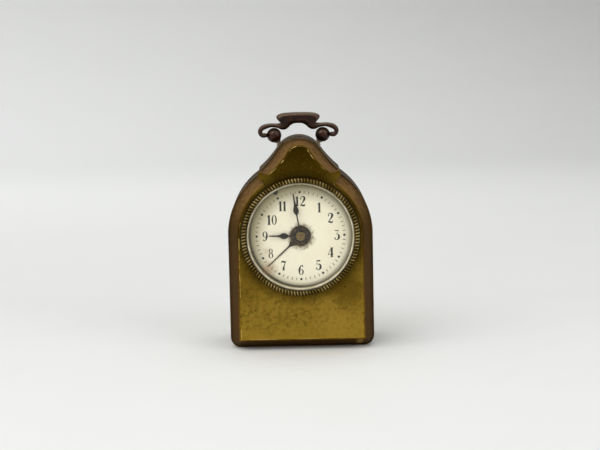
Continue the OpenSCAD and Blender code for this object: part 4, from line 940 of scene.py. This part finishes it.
class CLOCK_OT_numbers(Operator):
    """Printed numbers, hour dots and minute ticks of the dial"""

    bl_idname = "clock.numbers"
    bl_label = "Dial print"

    def execute(self, context):
        shape = context.scene.clock_shape
        numbers, track = Solid(), Solid()
        for hour in range(1, 13):
            a = radians(30 * hour)
            # As printed, the 3 and the 9 stand far out, the 10 far in, and the 1 to the lower right
            far = shape.numeral_circle + {3: 0.6, 9: 0.3, 10: -0.7}.get(hour, 0)
            off = 0.8 if hour == 1 else 0
            centre = (far * sin(a) + off, DIAL_Z + far * cos(a) - off)
            write_number(numbers, str(hour), centre, shape.numeral_height)
            dot = (TRACK_R * sin(a), DIAL_Z + TRACK_R * cos(a))
            numbers.add(disc(dot, 0.47, DIAL_Y - 0.05), "rows")
        for minute in range(60):
            if minute % 5:
                a = radians(6 * minute)
                ends = [(r * sin(a), DIAL_Z + r * cos(a)) for r in (TRACK_R - 0.55, TRACK_R, TRACK_R + 0.55)]
                track.add(stroke(ends, [0.24] * 3, PRINT_Y), "cols")
        # Soft black numbers, worn a little olive, and a minute track faded to brown
        black = fired_print("fired_black_print", "#17130c", "#3f3722", 0.7, 0.45, 0.75)
        brown = fired_print("fired_brown_print", "#43361a", "#8a7849", 2.5, 0.4, 0.62)
        fit(numbers.make("dial_numbers"), black, "case")
        fit(track.make("minute_track"), brown, "case")
        return {"FINISHED"}


class CLOCK_OT_hands(Operator):
    """Pear hands for the hours and minutes, and the alarm's needle on its round hub"""

    bl_idname = "clock.hands"
    bl_label = "Hands"

    def execute(self, context):
        minute = [(1.5, 0.3), (4.5, 0.27), (7.2, 0.26), (8.5, 0.34), (9.2, 0.8), (10.1, 1.1), (11, 1),
                  (12.2, 0.6), (13.4, 0.4), (15.5, 0.3), (17, 0.2), (17.6, 0.05)]
        hour = [(2, 0.4), (3.6, 0.3), (4.8, 0.38), (5.4, 0.85), (6.3, 1.2), (7.2, 1.1), (8.1, 0.6), (9, 0.36),
                (10.6, 0.3), (12.2, 0.2), (12.8, 0.06)]
        needle = [(3.3, 1.35), (4.4, 1.2), (5.3, 0.75), (6.1, 0.4), (7.2, 0.3), (12, 0.25), (17, 0.17), (18, 0.05)]
        for body, stations, angle, bore, r, y in (("minute", minute, MINUTE_ANGLE, 0.85, 2, MINUTE_Y),
                                                  ("hour", hour, HOUR_ANGLE, 1.3, 2.45, HOUR_Y)):
            hub = [(bore, y), (r, y), (r, y - 0.14), (r - 0.15, y - 0.25), (bore, y - 0.25)]
            hand = Solid().add(turned(hub, 96)).add(blade(stations, angle, y, 0.24), "cols")
            obj = hand.make(body + "_hand_pear", 20)
            fit(obj, browned_hands(), body, body + "_hand", slot="hand_bronze")
        # The alarm's hub has a bead round its rim and one round its bore: (radius, height)
        beads = [(2, 0), (4.1, 0), (4.1, 0.25), (3.95, 0.36), (3.75, 0.36), (3.6, 0.26), (3.1, 0.26), (2.95, 0.36),
                 (2.75, 0.36), (2.6, 0.26), (2, 0.26)]
        alarm = Solid().add(turned([(r, ALARM_Y - up) for r, up in beads], 128))
        alarm.add(blade(needle, ALARM_ANGLE, ALARM_Y - 0.01, 0.2), "cols")
        fit(alarm.make("alarm_needle", 20), oiled_brass(), "alarm_dial_hand", "alarm_hand", slot="hand_bronze")
        return {"FINISHED"}


class CLOCK_OT_handle(Operator):
    """Bail handle: a broad strap, arched at the grip, whose ends curl down over the balls"""

    bl_idname = "clock.handle"
    bl_label = "Handle"

    def execute(self, context):
        # Right half from the middle of the grip, in (x, height over the pivot): over it and under it, then the
        # arm that curls down to the ball, over and under
        outer = [(0, 9.15), (3, 9.1), (6, 8.9), (7.6, 8.5), (8.5, 7.9), (8.8, 7.2), (8.4, 6.4), (7.6, 5.9),
                 (7, 5.5), (7, 5.05)]
        inner = [(0, 4.75), (1.5, 4.65), (2.9, 4), (4, 3), (5.1, 2.3), (6.2, 2.15)]
        wing = [(7.6, 4.8), (9, 4.7), (11, 4.8), (13, 4.6), (14.8, 4), (16, 2.8), (16.3, 1.3), (15.8, 0),
                (14.8, -0.8), (13.9, -0.9), (13.15, -0.85)]
        under = [(7.2, 2.35), (8.2, 2.85), (9.8, 3.2), (11.2, 3.2), (12.6, 2.75), (13.9, 2.2), (14.5, 1.5),
                 (14.3, 0.95), (13.9, 0.9), (13.15, 0.9)]
        halves = []
        for grip, arm in ((outer, wing), (inner, under)):
            half = np.concatenate([curve(p, 1, 60)[0] for p in (grip, arm)]) + [0, PIVOT_Z]
            halves.append(np.concatenate([(half * [-1, 1])[::-1], half[1:]]))
        middle, reach = (halves[0] + halves[1]) / 2, (halves[0] - halves[1]) / 2
        # Each section is a rounded oblong across the strap
        a = np.linspace(0, 2 * pi, 28, endpoint=False)
        c, s = (np.sign(f(a)) * np.abs(f(a)) ** 0.65 for f in (np.cos, np.sin))
        rows = np.stack([at_y(middle + reach * s[i], STRAP_W / 2 * c[i]) for i in range(len(a))])
        obj = Solid().add(rows, "cols")
        # The pins that go into the balls
        pin = [(0.5, 10.4), (0.8, 10.7), (0.8, 13.3), (0.6, 13.5)]
        for way in (-1, 1):
            obj.add(lathed(pin, (0, 0, PIVOT_Z), (way, 0, 0), 32), "rows")
        fit(obj.make("bail_handle", 40), browned_bronze(), "handle", "handle", slot="bronze_dark")
        return {"FINISHED"}


class CLOCK_OT_balls(Operator):
    """Ball posts on the roof: a ball, a collar, a thin stem and a foot, leaning outwards"""

    bl_idname = "clock.balls"
    bl_label = "Ball posts"

    def execute(self, context):
        # From the ball's top to its neck, then down the post: (radius, place along it from the ball's centre)
        neck = np.arcsin(1.3 / BALL_R)
        section = [(BALL_R * sin(t), -BALL_R * cos(t)) for t in np.linspace(0.02, pi - neck, 40)]
        section += [(1.35, 2.75), (1.35, 3), (1.2, 3.12), (0.9, 3.16), (0.9, 3.75), (1.5, 3.95), (1.6, 4.05),
                    (1.6, 4.2), (0.9, 4.25), (0.9, 5.7)]
        solid = Solid()
        for way in (-1, 1):
            solid.add(lathed(section, (way * BALL_X, 0, PIVOT_Z), (-way * 2.2, 0, -3.55)), "rows")
        fit(solid.make("ball_posts_turned", 50), browned_bronze(), "case", "ball_posts", slot="bronze_dark")
        return {"FINISHED"}


class CLOCK_OT_finishes(Operator):
    """Finishes of the frame's own pieces"""

    bl_idname = "clock.finishes"
    bl_label = "Finishes"

    def execute(self, context):
        for maker, args, nodes in NODE_FINISHES:
            for node in nodes:
                put(NODES[node], maker(*args))
        return {"FINISHED"}


class CLOCK_PT_pieces(Panel):
    """Lists the clock's pieces"""

    bl_idname = "CLOCK_PT_pieces"
    bl_label = "Travel clock"
    bl_space_type = "VIEW_3D"
    bl_region_type = "UI"
    bl_category = "Clock"

    def draw(self, context):
        for group in (context.scene.clock_shape, context.scene.clock_finish):
            for name in type(group).__annotations__:
                self.layout.prop(group, name)
        for op in OPERATORS:
            self.layout.operator(op.bl_idname)


OPERATORS = (CLOCK_OT_studio, CLOCK_OT_front, CLOCK_OT_band, CLOCK_OT_bezel, CLOCK_OT_ring, CLOCK_OT_numbers,
             CLOCK_OT_hands, CLOCK_OT_handle, CLOCK_OT_balls, CLOCK_OT_finishes)
CLASSES = (ClockShape, ClockFinish) + OPERATORS + (CLOCK_PT_pieces,)


def register():
    """Registers the classes and hangs the settings on the scene."""
    for cls in CLASSES:
        bpy.utils.register_class(cls)
    bpy.types.Scene.clock_shape = PointerProperty(type=ClockShape)
    bpy.types.Scene.clock_finish = PointerProperty(type=ClockFinish)


def unregister():
    """Takes the settings and the classes away again."""
    del bpy.types.Scene.clock_finish
    del bpy.types.Scene.clock_shape
    for cls in reversed(CLASSES):
        bpy.utils.unregister_class(cls)


def main():
    """Builds the clock."""
    register()
    for op in OPERATORS:
        group, name = op.bl_idname.split(".")
        getattr(getattr(bpy.ops, group), name)()


if __name__ == "__main__":
    main()
